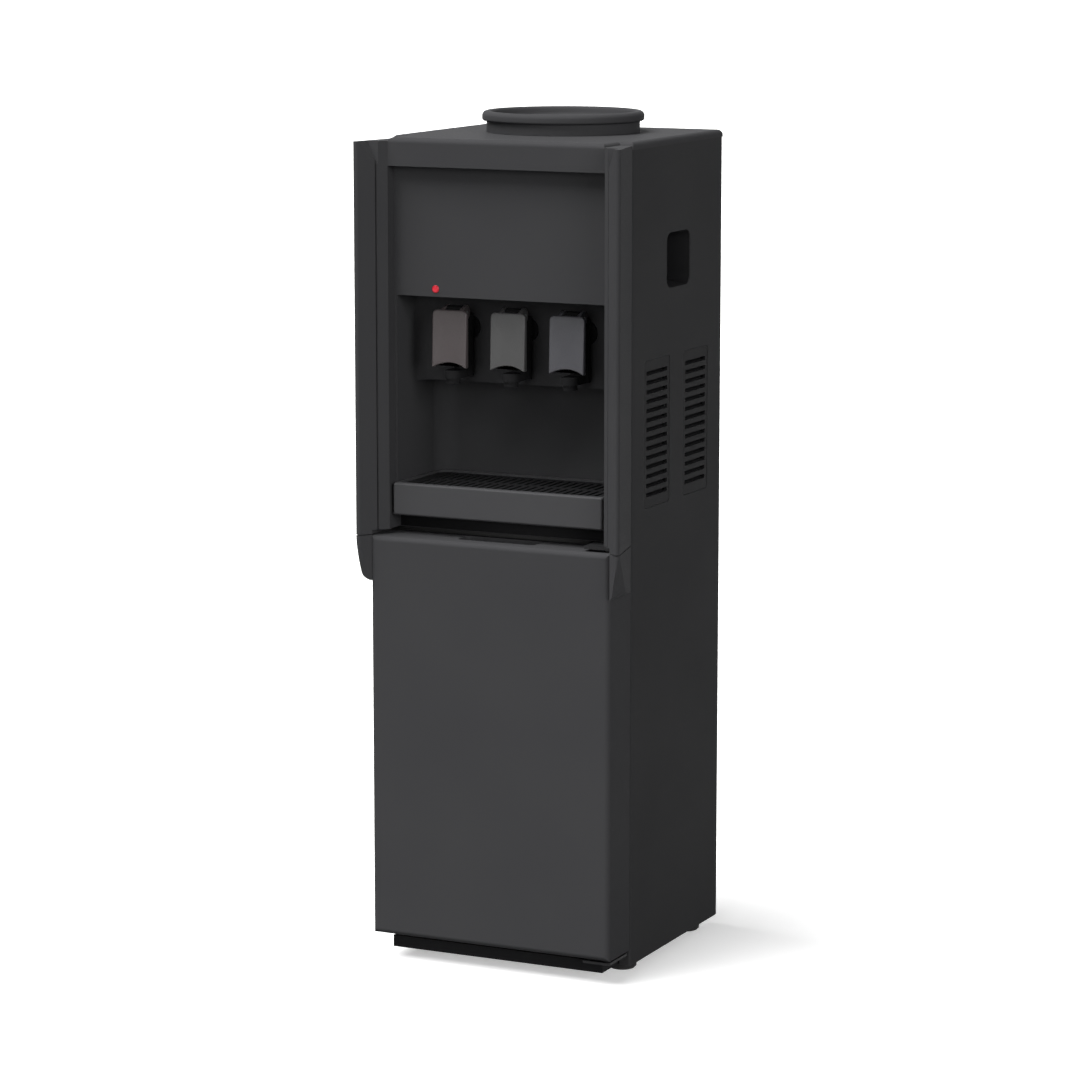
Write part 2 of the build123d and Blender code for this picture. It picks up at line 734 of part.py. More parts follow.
with BuildPart() as door_gasket:
    with BuildSketch(wall_at(seam_rear_y - fit_gap)) as gasket_plan:
        with Locations((0, door_middle_z)):
            gasket_outer_width = body_width - 2 * gasket_inset
            gasket_outer_height = door_high_z - door_low_z - 2 * gasket_inset
            Rectangle(gasket_outer_width, gasket_outer_height)
            gasket_hole_width = gasket_outer_width - 2 * gasket_width
            gasket_hole_height = gasket_outer_height - 2 * gasket_width
            Rectangle(gasket_hole_width, gasket_hole_height, mode=Mode.SUBTRACT)
    extrude(amount=seam_rear_y - fit_gap - liner_plate_y)
save(door_gasket, "door_gasket")

# Hinges: a plate under the cheek and one on the base plate, each with a pin into the door
bracket_thick = 3.0
bracket_reach = 29.0
bracket_front = 6.0
bracket_corner = 4.0
bracket_front_y = door_y + bracket_front
bracket_inner_x = hinge_x - bracket_reach
bracket_outer_x = wing_root_x - fit_gap

with BuildPart() as hinge_brackets:
    for bracket_z in (base_top_z, housing_low_z - bracket_thick):
        with BuildSketch(level(bracket_z)):
            with Locations(((bracket_inner_x + bracket_outer_x) / 2, (bracket_front_y + seam_front_y) / 2)):
                bracket_length = bracket_outer_x - bracket_inner_x
                RectangleRounded(bracket_length, seam_front_y - bracket_front_y, bracket_corner)
            with Locations((hinge_x, hinge_y)):
                Circle(hinge_radius + press_gap, mode=Mode.SUBTRACT)
        extrude(amount=bracket_thick)
save(hinge_brackets, "hinge_brackets")

with BuildPart() as hinge_pins:
    for pin_low_z, pin_high_z in (
        (base_top_z, door_low_z + hinge_depth - fit_gap),
        (door_high_z - hinge_depth + fit_gap, housing_low_z),
    ):
        with BuildSketch(level(pin_low_z)):
            with Locations((hinge_x, hinge_y)):
                Circle(hinge_radius)
        extrude(amount=pin_high_z - pin_low_z)
save(hinge_pins, "hinge_pins")

# Top cover: a lid with rolled edges, a nose between the cheeks and a round opening
cover_wall = 2.5
cover_round = 6.0
skirt_radius = 90.0

with BuildPart() as top_cover:
    with BuildSketch(level(side_top_z)):
        with Locations((0, (seam_rear_y + rear_y) / 2)):
            Rectangle(body_width, rear_y - seam_rear_y)
        with Locations((0, (frame_y + rear_y) / 2)):
            Rectangle(2 * inner_half, rear_y - frame_y)
    extrude(amount=cover_rise)
    fillet(top_cover.faces().sort_by(Axis.Z)[-1].edges(), cover_round)
    with BuildSketch(level(side_top_z)):
        with Locations((0, collar_y)):
            Circle(skirt_radius + fit_gap)
    extrude(amount=cover_rise, mode=Mode.SUBTRACT)
    offset(amount=-cover_wall, openings=top_cover.faces().sort_by(Axis.Z)[0])
save(top_cover, "top_cover")

# Bottle collar: a ring with a rolled lip, a funnel and a well for the neck of the bottle
lip_radius = 105.0
neck_ring_radius = 97.0
lip_height = 8.0
lip_round = 3.8
collar_wall = 3.0
throat_radius = 86.0
well_radius = 30.0
well_depth = 38.0  # under the top cover
well_rim_depth = 20.0
well_step = 4.0  # ledge that carries the probe
skirt_depth = 14.0
well_low_z = cover_top_z - well_depth
well_top_z = cover_top_z - well_rim_depth

with BuildPart() as bottle_collar:
    with BuildSketch(wall_at(collar_y)) as collar_section:
        with BuildLine():
            Polyline(
                (well_radius - well_step, well_low_z),
                (well_radius + collar_wall, well_low_z),
                (well_radius + collar_wall, well_top_z),
                (throat_radius, collar_top_z - lip_height - collar_wall),
                (throat_radius, cover_top_z - skirt_depth),
                (skirt_radius, cover_top_z - skirt_depth),
                (skirt_radius, cover_top_z),
                (neck_ring_radius, cover_top_z),
                (neck_ring_radius, collar_top_z - lip_height),
                (lip_radius, collar_top_z - lip_height),
                (lip_radius, collar_top_z),
                (throat_radius + collar_wall, collar_top_z),
                (throat_radius, collar_top_z - collar_wall),
                (well_radius, well_top_z + collar_wall),
                (well_radius, well_low_z + collar_wall),
                (well_radius - well_step, well_low_z + collar_wall),
                close=True,
            )
        make_face()
        lip_corners = collar_section.vertices().group_by(Axis.X)[-1]
        fillet(lip_corners, lip_round)
    revolve(axis=Axis((0, collar_y, 0), (0, 0, 1)))
save(bottle_collar, "bottle_collar")

# Feed probe: stands in the well and opens the valve in the bottle's cap
probe_radius = 9.0
probe_bore = 6.0
probe_drop = 9.0  # under the lip of the collar
probe_disc = 3.0
probe_tip = 7.0
probe_port = 5.0
probe_top_z = collar_top_z - probe_drop
probe_floor_z = well_low_z + collar_wall
probe_disc_radius = well_radius - fit_gap

with BuildPart() as feed_probe:
    with BuildSketch(level(probe_floor_z)):
        with Locations((0, collar_y)):
            Circle(probe_disc_radius)
    extrude(amount=probe_disc)
    with BuildSketch(level(probe_floor_z)):
        with Locations((0, collar_y)):
            Circle(probe_radius)
    extrude(amount=probe_top_z - probe_floor_z)
    chamfer(feed_probe.faces().sort_by(Axis.Z)[-1].edges(), probe_tip, probe_tip / 2)
    with BuildSketch(level(probe_floor_z)):
        with Locations((0, collar_y)):
            Circle(probe_bore)
    extrude(amount=probe_top_z - probe_floor_z - probe_tip - probe_disc, mode=Mode.SUBTRACT)
    with BuildSketch(wall_at(collar_y + probe_disc_radius)):
        with Locations((0, probe_top_z - 2 * probe_tip - probe_disc)):
            Rectangle(probe_port, 2 * probe_port)
    extrude(amount=2 * probe_disc_radius, mode=Mode.SUBTRACT)
save(feed_probe, "feed_probe")

# Tank shelf, cold tank in its foam, and hot tank hung under the shelf
shelf_thick = 2.0
foam_radius = 90.0
foam_wall = 20.0
well_clearance = 6.0  # the well over the cold tank
tank_gap = 0.5
tank_wall = 1.5
hot_ahead = 102.0
hot_radius = 50.0
hot_rise = 39.0  # over the storage liner
hot_hang = 26.0  # under the shelf
hot_dome = 16.0
hanger_radius = 9.0
tube_radius = 6.0
tube_bore = 4.0
tube_drop_x = 40.0  # where the room and cold tubes rise to the tank
tube_drop_ahead = 8.0  # in front of the bottle seat's axis
shelf_top_z = alcove_top_z + housing_wall
shelf_low_z = shelf_top_z - shelf_thick
tank_radius = foam_radius - foam_wall - tank_gap
tank_low_z = shelf_top_z + foam_wall
well_hole = well_radius + collar_wall + 1.5
hot_x = -tap_pitch
hot_y = rear_y - hot_ahead
hot_low_z = housing_low_z + hot_rise
hot_high_z = shelf_low_z - hot_hang
foam_top_z = well_low_z - well_clearance
tube_drop_y = collar_y - tube_drop_ahead
tube_drops = [(0, tube_drop_y), (tube_drop_x, tube_drop_y)]
tube_hole = tube_radius + fit_gap

with BuildPart() as tank_shelf:
    with BuildSketch(level(shelf_low_z)):
        shelf_front_y = alcove_y + housing_wall
        with Locations((0, (shelf_front_y + base_rear_y) / 2)):
            Rectangle(2 * inside_half, base_rear_y - shelf_front_y)
        with Locations(*tube_drops):
            Circle(tube_hole, mode=Mode.SUBTRACT)
    extrude(amount=shelf_thick)
save(tank_shelf, "tank_shelf")

with BuildPart() as tank_foam:
    with BuildSketch(level(shelf_top_z)):
        with Locations((0, collar_y)):
            Circle(foam_radius)
    extrude(amount=foam_top_z - shelf_top_z)
    with BuildSketch(level(tank_low_z)):
        with Locations((0, collar_y)):
            Circle(foam_radius - foam_wall)
    extrude(amount=foam_top_z - tank_low_z, mode=Mode.SUBTRACT)
    with BuildSketch(level(shelf_top_z)):
        with Locations(*tube_drops):
            Circle(tube_hole)
    extrude(amount=foam_wall, mode=Mode.SUBTRACT)
save(tank_foam, "tank_foam")

with BuildPart() as cold_tank:
    with BuildSketch(level(tank_low_z)):
        with Locations((0, collar_y)):
            Circle(tank_radius)
    extrude(amount=foam_top_z - tank_low_z)
    offset(amount=-tank_wall, openings=cold_tank.faces().sort_by(Axis.Z)[-1])
    with BuildSketch(level(foam_top_z)):
        with Locations((0, collar_y)):
            Circle(foam_radius)
            Circle(well_hole, mode=Mode.SUBTRACT)
    extrude(amount=tank_wall)
save(cold_tank, "cold_tank")

with BuildPart() as hot_tank:
    with BuildSketch(level(hot_low_z)):
        with Locations((hot_x, hot_y)):
            Circle(hot_radius)
    extrude(amount=hot_high_z - hot_low_z)
    fillet(hot_tank.edges(), hot_dome)
    offset(amount=-tank_wall, mode=Mode.SUBTRACT)
    with BuildSketch(wall_at(hot_y)):
        with Locations((hot_x, tap_shank_z)):
            Circle(tube_bore)
    extrude(amount=2 * hot_radius, mode=Mode.SUBTRACT)
    with BuildSketch(level(hot_high_z)):
        with Locations((hot_x, hot_y)):
            Circle(hanger_radius)
    extrude(amount=shelf_low_z - hot_high_z)
save(hot_tank, "hot_tank")

# Feed tubes: silicone hose from each tank to its tap
tube_bend = 14.0
tube_lead = 24.0
shank_end_y = bulkhead_y + shank_length
tube_rise_z = tank_low_z
hot_tube_end_y = hot_y - hot_radius - fit_gap

with BuildPart() as hot_feed_tube:
    with BuildSketch(wall_at(shank_end_y)):
        with Locations((-tap_pitch, tap_shank_z)):
            Circle(tube_radius)
            Circle(tube_bore, mode=Mode.SUBTRACT)
    extrude(amount=shank_end_y - hot_tube_end_y)
save(hot_feed_tube, "hot_feed_tube")

for tube_name, tap_x, drop_x in (("room", 0, 0), ("cold", tap_pitch, tube_drop_x)):
    with BuildPart() as feed_tube:
        with BuildLine() as tube_route:
            bend_points = [(tap_x, shank_end_y, tap_shank_z)]
            if tap_x != drop_x:
                bend_points.append((tap_x, shank_end_y + tube_lead, tap_shank_z))
            bend_points.append((drop_x, tube_drop_y, tap_shank_z))
            bend_points.append((drop_x, tube_drop_y, tube_rise_z))
            FilletPolyline(*bend_points, radius=tube_bend)
        with BuildSketch(wall_at(shank_end_y)):
            with Locations((tap_x, tap_shank_z)):
                Circle(tube_radius)
        sweep()
    save(feed_tube, tube_name + "_feed_tube")

# Rear panel, with slots under the condenser, and its screws
back_low_z = 250.0
back_slot_width = 50.0
back_slot_height = 5.0
back_slot_pitch = 12.0
back_slot_rows = 8
back_slot_z = 400.0
back_slot_columns = 3
back_slot_spread = 80.0
back_edge = 0.5
screw_inset = 5.0
screw_margin = 25.0
screw_rows = 4
screw_head_radius = 4.0
screw_head = 2.2
screw_radius = 1.8
switch_x = 95.0
switch_pitch = 34.0
switch_drop = 37.0  # under the top cover
switch_width = 16.0
switch_height = 25.0
gland_x = -110.0
gland_z = 290.0
gland_radius = 9.0
drain_x = hot_x
drain_rise = 25.0  # over the hot tank's floor
drain_radius = 8.0
drain_z = hot_low_z + drain_rise
switch_z = side_top_z - switch_drop
back_rear_y = back_seat_y + sheet
back_half = column_x - bend_radius - back_edge
screw_x = back_half - screw_inset
screw_span = side_top_z - back_low_z - 2 * screw_margin
back_middle_z = (back_low_z + side_top_z) / 2
switch_places = [(switch_x - switch_pitch, switch_z), (switch_x, switch_z)]

with BuildPart() as back_panel:
    with BuildSketch(wall_at(back_rear_y)):
        with Locations((0, back_middle_z)):
            Rectangle(2 * back_half, side_top_z - back_low_z)
            with GridLocations(2 * screw_x, screw_span / (screw_rows - 1), 2, screw_rows):
                Circle(screw_radius + press_gap, mode=Mode.SUBTRACT)
        with Locations((0, back_slot_z)):
            with GridLocations(back_slot_spread, back_slot_pitch, back_slot_columns, back_slot_rows):
                Rectangle(back_slot_width, back_slot_height, mode=Mode.SUBTRACT)
        with Locations(*switch_places):
            Rectangle(switch_width, switch_height, mode=Mode.SUBTRACT)
        with Locations((gland_x, gland_z)):
            Circle(gland_radius, mode=Mode.SUBTRACT)
        with Locations((drain_x, drain_z)):
            Circle(drain_radius + fit_gap, mode=Mode.SUBTRACT)
    extrude(amount=sheet)
save(back_panel, "back_panel")

with BuildPart() as back_screws:
    with BuildSketch(wall_at(back_rear_y)):
        with Locations((0, back_middle_z)):
            with GridLocations(2 * screw_x, screw_span / (screw_rows - 1), 2, screw_rows):
                Circle(screw_head_radius)
    extrude(amount=-screw_head)
    chamfer(back_screws.edges().group_by(Axis.Y)[-1], screw_head / 3)
    with BuildSketch(wall_at(back_rear_y)):
        with Locations((0, back_middle_z)):
            with GridLocations(2 * screw_x, screw_span / (screw_rows - 1), 2, screw_rows):
                Circle(screw_radius)
    extrude(amount=sheet)
save(back_screws, "back_screws")

# Rocker switches for heating and cooling, each in a frame in the rear panel
frame_lip = 3.0
frame_proud = 1.5
frame_depth = 14.0
frame_wall = 1.8
rocker_reach = 7.5
rocker_tilt = 9.0
rocker_depth = 6.0
switch_fit = 0.1

with BuildPart() as switch_frames:
    with BuildSketch(wall_at(back_rear_y)):
        with Locations(*switch_places):
            Rectangle(switch_width + 2 * frame_lip, switch_height + 2 * frame_lip)
    extrude(amount=-frame_proud)
    with BuildSketch(wall_at(back_rear_y)):
        with Locations(*switch_places):
            Rectangle(switch_width - 2 * switch_fit, switch_height - 2 * switch_fit)
    extrude(amount=frame_depth)
    with BuildSketch(wall_at(back_rear_y + frame_proud)):
        with Locations(*switch_places):
            Rectangle(switch_width - 2 * frame_wall, switch_height - 2 * frame_wall)
    extrude(amount=frame_proud + frame_depth - frame_wall, mode=Mode.SUBTRACT)
save(switch_frames, "switch_frames")

rocker_y = back_rear_y - rocker_depth / 2
rocker_half = switch_width / 2 - frame_wall - fit_gap

for rocker_name, (rocker_x, rocker_z) in zip(("hot", "cold"), switch_places):
    with BuildPart() as rocker:
        with BuildSketch(side_at(rocker_x)):
            with Locations((rocker_y, rocker_z)):
                Polygon(
                    (rocker_depth / 2, 0),
                    (rocker_depth, rocker_reach),
                    (-rocker_depth / 2, rocker_reach),
                    (-rocker_depth / 2, -rocker_reach),
                    (rocker_depth, -rocker_reach),
                    rotation=rocker_tilt,
                    align=None,
                )
        extrude(amount=rocker_half, both=True)
    save(rocker, rocker_name + "_switch_rocker")

# Cord gland: a grommet in the rear panel, where the supply lead goes in
gland_lip = 3.0
gland_thick = 2.5
gland_bore = 4.0

with BuildPart() as cord_gland:
    with BuildSketch(wall_at(back_rear_y)):
        with Locations((gland_x, gland_z)):
            Circle(gland_radius + gland_lip)
    extrude(amount=-gland_thick)
    with BuildSketch(wall_at(back_rear_y)):
        with Locations((gland_x, gland_z)):
            Circle(gland_radius - press_gap)
    extrude(amount=sheet + gland_thick)
    with BuildSketch(wall_at(back_rear_y + gland_thick)):
        with Locations((gland_x, gland_z)):
            Circle(gland_bore)
    extrude(amount=sheet + 2 * gland_thick, mode=Mode.SUBTRACT)
save(cord_gland, "cord_gland")

# Drain: a spigot from the hot tank through the rear panel, and the cap that screws on it
drain_out = 14.0
cap_wall = 3.0
cap_length = 12.0
cap_grips = 12
grip_notch = 1.2
drain_bore = 5.0
drain_end_y = back_rear_y + drain_out
drain_start_y = hot_y + (hot_radius + fit_gap)

with BuildPart() as drain_spigot:
    with BuildSketch(wall_at(drain_end_y)):
        with Locations((drain_x, drain_z)):
            Circle(drain_radius)
            Circle(drain_bore, mode=Mode.SUBTRACT)
    extrude(amount=drain_end_y - drain_start_y)
save(drain_spigot, "drain_spigot")

with BuildPart() as drain_cap:
    cap_plane = wall_at(drain_end_y + cap_wall)
    with BuildSketch(cap_plane):
        with Locations((drain_x, drain_z)):
            Circle(drain_radius + cap_wall)
            with PolarLocations(drain_radius + cap_wall, cap_grips):
                Circle(grip_notch, mode=Mode.SUBTRACT)
    extrude(amount=cap_length)
    with BuildSketch(wall_at(drain_end_y + fit_gap)):
        with Locations((drain_x, drain_z)):
            Circle(drain_radius + pin_gap)
    extrude(amount=cap_length, mode=Mode.SUBTRACT)
save(drain_cap, "drain_cap")

# Condenser: a tube that runs to and fro behind the rear panel, with wires across it and clips
condenser_half = 104.0
condenser_rise = 35.0  # over the drain
condenser_drop = 100.0  # under the top cover, room for the switches
run_pitch = 28.0
run_radius = 2.5
wire_size = 1.6
wire_pitch = 13.0
wire_gap = 0.2
wire_over = 10.0
clip_width = 10.0
clip_x = 84.0
condenser_stand = 11.0  # axis of the tube behind the rear panel
condenser_y = back_rear_y + condenser_stand
condenser_low_z = drain_z + condenser_rise
run_count = int((side_top_z - condenser_drop - condenser_low_z) // run_pitch) + 1
condenser_high_z = condenser_low_z + (run_count - 1) * run_pitch
wire_count = int(2 * condenser_half // wire_pitch)

with BuildPart() as condenser_tube:
    with BuildLine(wall_at(condenser_y)) as condenser_route:
        for run in range(run_count):
            way = 1 if run % 2 == 0 else -1
            run_z = condenser_low_z + run * run_pitch
            run_end = (way * condenser_half, run_z)
            Line((-way * condenser_half, run_z), run_end)
            if run < run_count - 1:
                bend_top = (way * (condenser_half + run_pitch / 2), run_z + run_pitch / 2)
                ThreePointArc(run_end, bend_top, (way * condenser_half, run_z + run_pitch))
    with BuildSketch(side_at(-condenser_half)):
        with Locations((condenser_y, condenser_low_z)):
            Circle(run_radius)
    sweep()
save(condenser_tube, "condenser_tube")

with BuildPart() as condenser_wires:
    wire_y = condenser_y + run_radius + wire_gap + wire_size / 2
    with BuildSketch(level(condenser_low_z - wire_over)):
        with Locations((0, wire_y)):
            with GridLocations(wire_pitch, 0, wire_count, 1):
                Rectangle(wire_size, wire_size)
    extrude(amount=condenser_high_z - condenser_low_z + 2 * wire_over)
save(condenser_wires, "condenser_wires")

with BuildPart() as condenser_clips:
    clip_out = condenser_stand - run_radius - wire_gap
    with BuildSketch(wall_at(back_rear_y)):
        with Locations((0, (condenser_low_z + condenser_high_z) / 2)):
            with GridLocations(2 * clip_x, condenser_high_z - condenser_low_z, 2, 2):
                Rectangle(clip_width, clip_width)
    extrude(amount=-clip_out)
save(condenser_clips, "condenser_clips")

# Compressor on rubber mounts, behind the step of the liner
compressor_x = 10.0
compressor_ahead = 98.0
compressor_radius = 58.0
compressor_height = 140.0
compressor_round = 30.0
compressor_wall = 9.0  # the can with the motor's iron inside it
mount_plate_x = 150.0
mount_plate_y = 112.0
mount_plate_thick = 3.0
mount_spread_x = 122.0
mount_spread_y = 84.0
mount_radius = 10.0
mount_height = 18.0
compressor_y = rear_y - compressor_ahead
mount_top_z = base_top_z + mount_height

with BuildPart() as compressor_mounts:
    with BuildSketch(level(base_top_z)):
        with Locations((compressor_x, compressor_y)):
            with GridLocations(mount_spread_x, mount_spread_y, 2, 2):
                Circle(mount_radius)
    extrude(amount=mount_height)
save(compressor_mounts, "compressor_mounts")

with BuildPart() as compressor:
    with BuildSketch(level(mount_top_z)):
        with Locations((compressor_x, compressor_y)):
            Circle(compressor_radius)
    extrude(amount=mount_plate_thick + compressor_height)
    fillet(compressor.edges().group_by(Axis.Z)[-1], compressor_round)
    offset(amount=-compressor_wall, mode=Mode.SUBTRACT)
    with BuildSketch(level(mount_top_z)):
        with Locations((compressor_x, compressor_y)):
            RectangleRounded(mount_plate_x, mount_plate_y, mount_radius)
    extrude(amount=mount_plate_thick)
    with BuildSketch(level(mount_top_z)):
        with Locations((compressor_x, compressor_y)):
            Circle(mount_radius)
    extrude(amount=compressor_wall, mode=Mode.SUBTRACT)
save(compressor, "compressor")
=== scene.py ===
import json
import math

import bpy
import numpy as np
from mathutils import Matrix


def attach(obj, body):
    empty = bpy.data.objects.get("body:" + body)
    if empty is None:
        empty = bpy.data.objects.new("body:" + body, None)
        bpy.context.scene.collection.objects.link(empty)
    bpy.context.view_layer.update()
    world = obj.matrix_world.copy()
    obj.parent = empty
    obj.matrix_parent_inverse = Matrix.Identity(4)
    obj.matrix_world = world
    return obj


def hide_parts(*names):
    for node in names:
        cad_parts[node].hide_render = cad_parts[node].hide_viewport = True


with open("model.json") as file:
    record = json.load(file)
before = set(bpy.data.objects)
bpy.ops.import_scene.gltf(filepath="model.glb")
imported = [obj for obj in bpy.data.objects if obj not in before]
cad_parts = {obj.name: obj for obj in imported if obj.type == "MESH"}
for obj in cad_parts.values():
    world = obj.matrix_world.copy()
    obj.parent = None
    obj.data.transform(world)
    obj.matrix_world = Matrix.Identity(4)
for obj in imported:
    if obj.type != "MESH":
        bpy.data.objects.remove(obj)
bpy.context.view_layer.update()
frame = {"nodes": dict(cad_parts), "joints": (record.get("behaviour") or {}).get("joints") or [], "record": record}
nodes = frame["nodes"]
# where each turning joint has its pin, in millimetres
pins = {joint["name"]: np.array(joint["pos_m"]) * 1000.0 for joint in frame["joints"] if "pos_m" in joint}
print("frame:", len(nodes), "CAD nodes")


# Small tools

def boxOf(name):
    # lowest and highest corner of a CAD node at rest, in millimetres to the nearest micrometre
    corners = np.array(nodes[name].bound_box, dtype=float) * 1000.0
    return np.round(corners.min(0), 3), np.round(corners.max(0), 3)


def hexLinear(code):
    # sRGB hex colour to linear RGBA
    srgb = np.array([int(code[i:i + 2], 16) / 255 for i in (1, 3, 5)])
    linear = np.where(srgb <= 0.04045, srgb / 12.92, ((srgb + 0.055) / 1.055) ** 2.4)
    return (*linear.tolist(), 1.0)


def perMm(size):
    # texture scale for a pattern that repeats every so many millimetres, on coordinates in metres
    return 1000.0 / size


def addNode(tree, kind, settings=None, inputs=None, links=None):
    # one node, with its settings, its constant inputs and what feeds its other inputs
    node = tree.nodes.new(kind)
    for name, value in (settings or {}).items():
        setattr(node, name, value)
    for name, value in (inputs or {}).items():
        node.inputs[name].default_value = value
    for name, socket in (links or {}).items():
        tree.links.new(socket, node.inputs[name])
    return node


def addObject(name, data):
    thing = bpy.data.objects.new(name, data)
    bpy.context.scene.collection.objects.link(thing)
    return thing


def gridFaces(rows, cols, wrapRows=False, wrapCols=False):
    # quads of a grid of points, row by row, closed round either way where asked
    i, j = np.meshgrid(np.arange(rows if wrapRows else rows - 1),
                       np.arange(cols if wrapCols else cols - 1), indexing="ij")
    nextI, nextJ = (i + 1) % rows, (j + 1) % cols
    quads = np.stack([i * cols + j, i * cols + nextJ, nextI * cols + nextJ, nextI * cols + j], -1)
    return quads.reshape(-1, 4).tolist()


def cappedFaces(rows, cols):
    # a grid closed round its columns, turned outward, with its first and last row filled
    first, last = list(range(cols)), list(range((rows - 1) * cols, rows * cols))
    return [face[::-1] for face in gridFaces(rows, cols, wrapCols=True)] + [first, last[::-1]]


def putPiece(name, surfaces, material, body, smooth=True, stands=()):
    # joins (points, faces) surfaces in millimetres into one mesh in metres that rides on a body
    points, faces, start = [], [], 0
    for surface, surfaceFaces in surfaces:
        flat = np.asarray(surface, float).reshape(-1, 3)
        points.append(flat)
        faces += [[start + k for k in face] for face in surfaceFaces]
        start += len(flat)
    mesh = bpy.data.meshes.new(name)
    mesh.from_pydata((np.concatenate(points) / 1000.0).tolist(), [], faces)
    mesh.materials.append(material)
    mesh.polygons.foreach_set("use_smooth", np.full(len(mesh.polygons), smooth))
    mesh.validate()
    piece = addObject(name, mesh)
    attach(piece, body)
    if stands:
        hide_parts(*stands)


def roundOutline(width, height, radii, perCorner=8):
    # rectangle about the origin, anticlockwise from the lower left, with a radius for each corner
    corners = np.array([(-1, -1), (1, -1), (1, 1), (-1, 1)]) * np.array([width, height]) / 2
    inward = np.array([(1, 1), (-1, 1), (-1, -1), (1, -1)])
    starts = np.array([180.0, 270.0, 0.0, 90.0])
    turn = np.radians(starts[:, None] + np.linspace(0, 90, perCorner)[None, :])
    radius = np.asarray(radii, float)[:, None, None]
    centre = (corners + inward * radius[:, 0])[:, None, :]
    return (centre + radius * np.stack([np.cos(turn), np.sin(turn)], -1)).reshape(-1, 2)


def outlineNormals(outline):
    # outward directions of an anticlockwise outline, from its neighbours on both sides
    along = np.roll(outline, -1, 0) - np.roll(outline, 1, 0)
    across = np.stack([along[:, 1], -along[:, 0]], -1)
    return across / np.linalg.norm(across, axis=1, keepdims=True)


def softPlate(outline, thick, edge, crown=None, steps=5, rings=6, innermost=0.02):
    # plate of an outline with rolled edges: each ring is the outline drawn in by edge*(1-cos a) at
    # depth edge*sin a, and the front is filled by rings that shrink to the middle under a crown
    normals, middle = outlineNormals(outline), outline.mean(0)
    shrink = np.linspace(innermost, 1, rings)[:, None, None]
    front = middle + shrink * (outline - normals * edge - middle)
    roll = np.linspace(math.pi / 2, 0, steps)
    frontRoll, rearRoll = roll[1:], roll[::-1]
    drawnIn = edge * (1 - np.cos(np.concatenate([frontRoll, rearRoll])))
    flat = np.concatenate([front, outline - normals * drawnIn[:, None, None]])
    depth = np.concatenate([np.full(rings, thick), thick - edge + edge * np.sin(frontRoll),
                            edge - edge * np.sin(rearRoll)])
    depth = np.repeat(depth[:, None], len(outline), 1)
    if crown is not None:
        depth = depth + np.clip(depth / thick, 0, 1) * crown(flat[..., 0], flat[..., 1])
    points = np.concatenate([flat, depth[..., None]], -1)
    return points.reshape(-1, 3), cappedFaces(len(flat), len(outline))


def facing(points, way, origin):
    # (across, up, depth) points to the part's frame: front looks to -Y, rear to +Y, right to +X
    a, b, d = points[:, 0], points[:, 1], points[:, 2]
    turned = {"front": (a, -d, b), "rear": (-a, d, b), "right": (d, a, b)}
    return np.column_stack(turned[way]) + np.asarray(origin, float)


def prism(profile, start, end, way):
    # closed profile in a plane carried straight from start to end along an axis, with flat ends
    count = len(profile)
    low = np.insert(profile, way, start, axis=1)
    high = np.insert(profile, way, end, axis=1)
    faces = gridFaces(2, count, wrapCols=True)
    faces += [list(range(count))[::-1], list(range(count, 2 * count))]
    return np.concatenate([low, high]), faces


# Materials

def emptyMaterial(name):
    material = bpy.data.materials.new(name)
    material.use_nodes = True
    material.node_tree.nodes.clear()
    return material, material.node_tree


def newMaterial(name):
    # Object coordinates stay with the piece when it moves
    material, tree = emptyMaterial(name)
    return material, tree, addNode(tree, "ShaderNodeTexCoord").outputs["Object"]


def mixColours(tree, first, second, share):
    # inputs 0, 6 and 7 of a mix of colours are its share and the two colours, and output 2 is the result
    mix = addNode(tree, "ShaderNodeMix", {"data_type": "RGBA"}, {
        6: hexLinear(first), 7: hexLinear(second)}, {0: share})
    return mix.outputs[2]


def spreadGloss(tree, look, value, low=0.3, high=0.7):
    # roughness between a finish's two limits; most of a noise lies between 0.3 and 0.7
    gloss = addNode(tree, "ShaderNodeMapRange", inputs={
        "From Min": low, "From Max": high, "To Min": look["roughness"][0], "To Max": look["roughness"][1]},
        links={"Value": value})
    return gloss.outputs["Result"]


def raised(tree, look, height, depthMm):
    bump = addNode(tree, "ShaderNodeBump", inputs={"Strength": look["bump"], "Distance": depthMm / 1000.0},
                   links={"Height": height})
    return bump.outputs["Normal"]


def surfaceOf(tree, inputs, links):
    shader = addNode(tree, "ShaderNodeBsdfPrincipled", inputs=inputs, links=links)
    addNode(tree, "ShaderNodeOutputMaterial", links={"Surface": shader.outputs["BSDF"]})


def mouldedPlastic(name, look):
    # grain from the mould's spark-eroded wall: tiny pits that break up the gloss, over a faint
    # cloud of tone from how the melt flowed
    material, tree, place = newMaterial(name)
    grain = addNode(tree, "ShaderNodeTexNoise", inputs={
        "Scale": perMm(look["grainMm"]), "Detail": 3.0, "Roughness": 0.6}, links={"Vector": place})
    cloud = addNode(tree, "ShaderNodeTexNoise", inputs={
        "Scale": perMm(look["cloudMm"]), "Detail": 2.0, "Roughness": 0.5}, links={"Vector": place})
    pitMm = look["grainMm"] * 0.2  # pits are a fifth as deep as they are wide
    surfaceOf(tree, {"IOR": look["ior"], "Specular IOR Level": look["specular"]}, {
        "Base Color": mixColours(tree, look["colour"], look["second"], cloud.outputs["Fac"]),
        "Roughness": spreadGloss(tree, look, grain.outputs["Fac"]),
        "Normal": raised(tree, look, grain.outputs["Fac"], pitMm)})
    return material


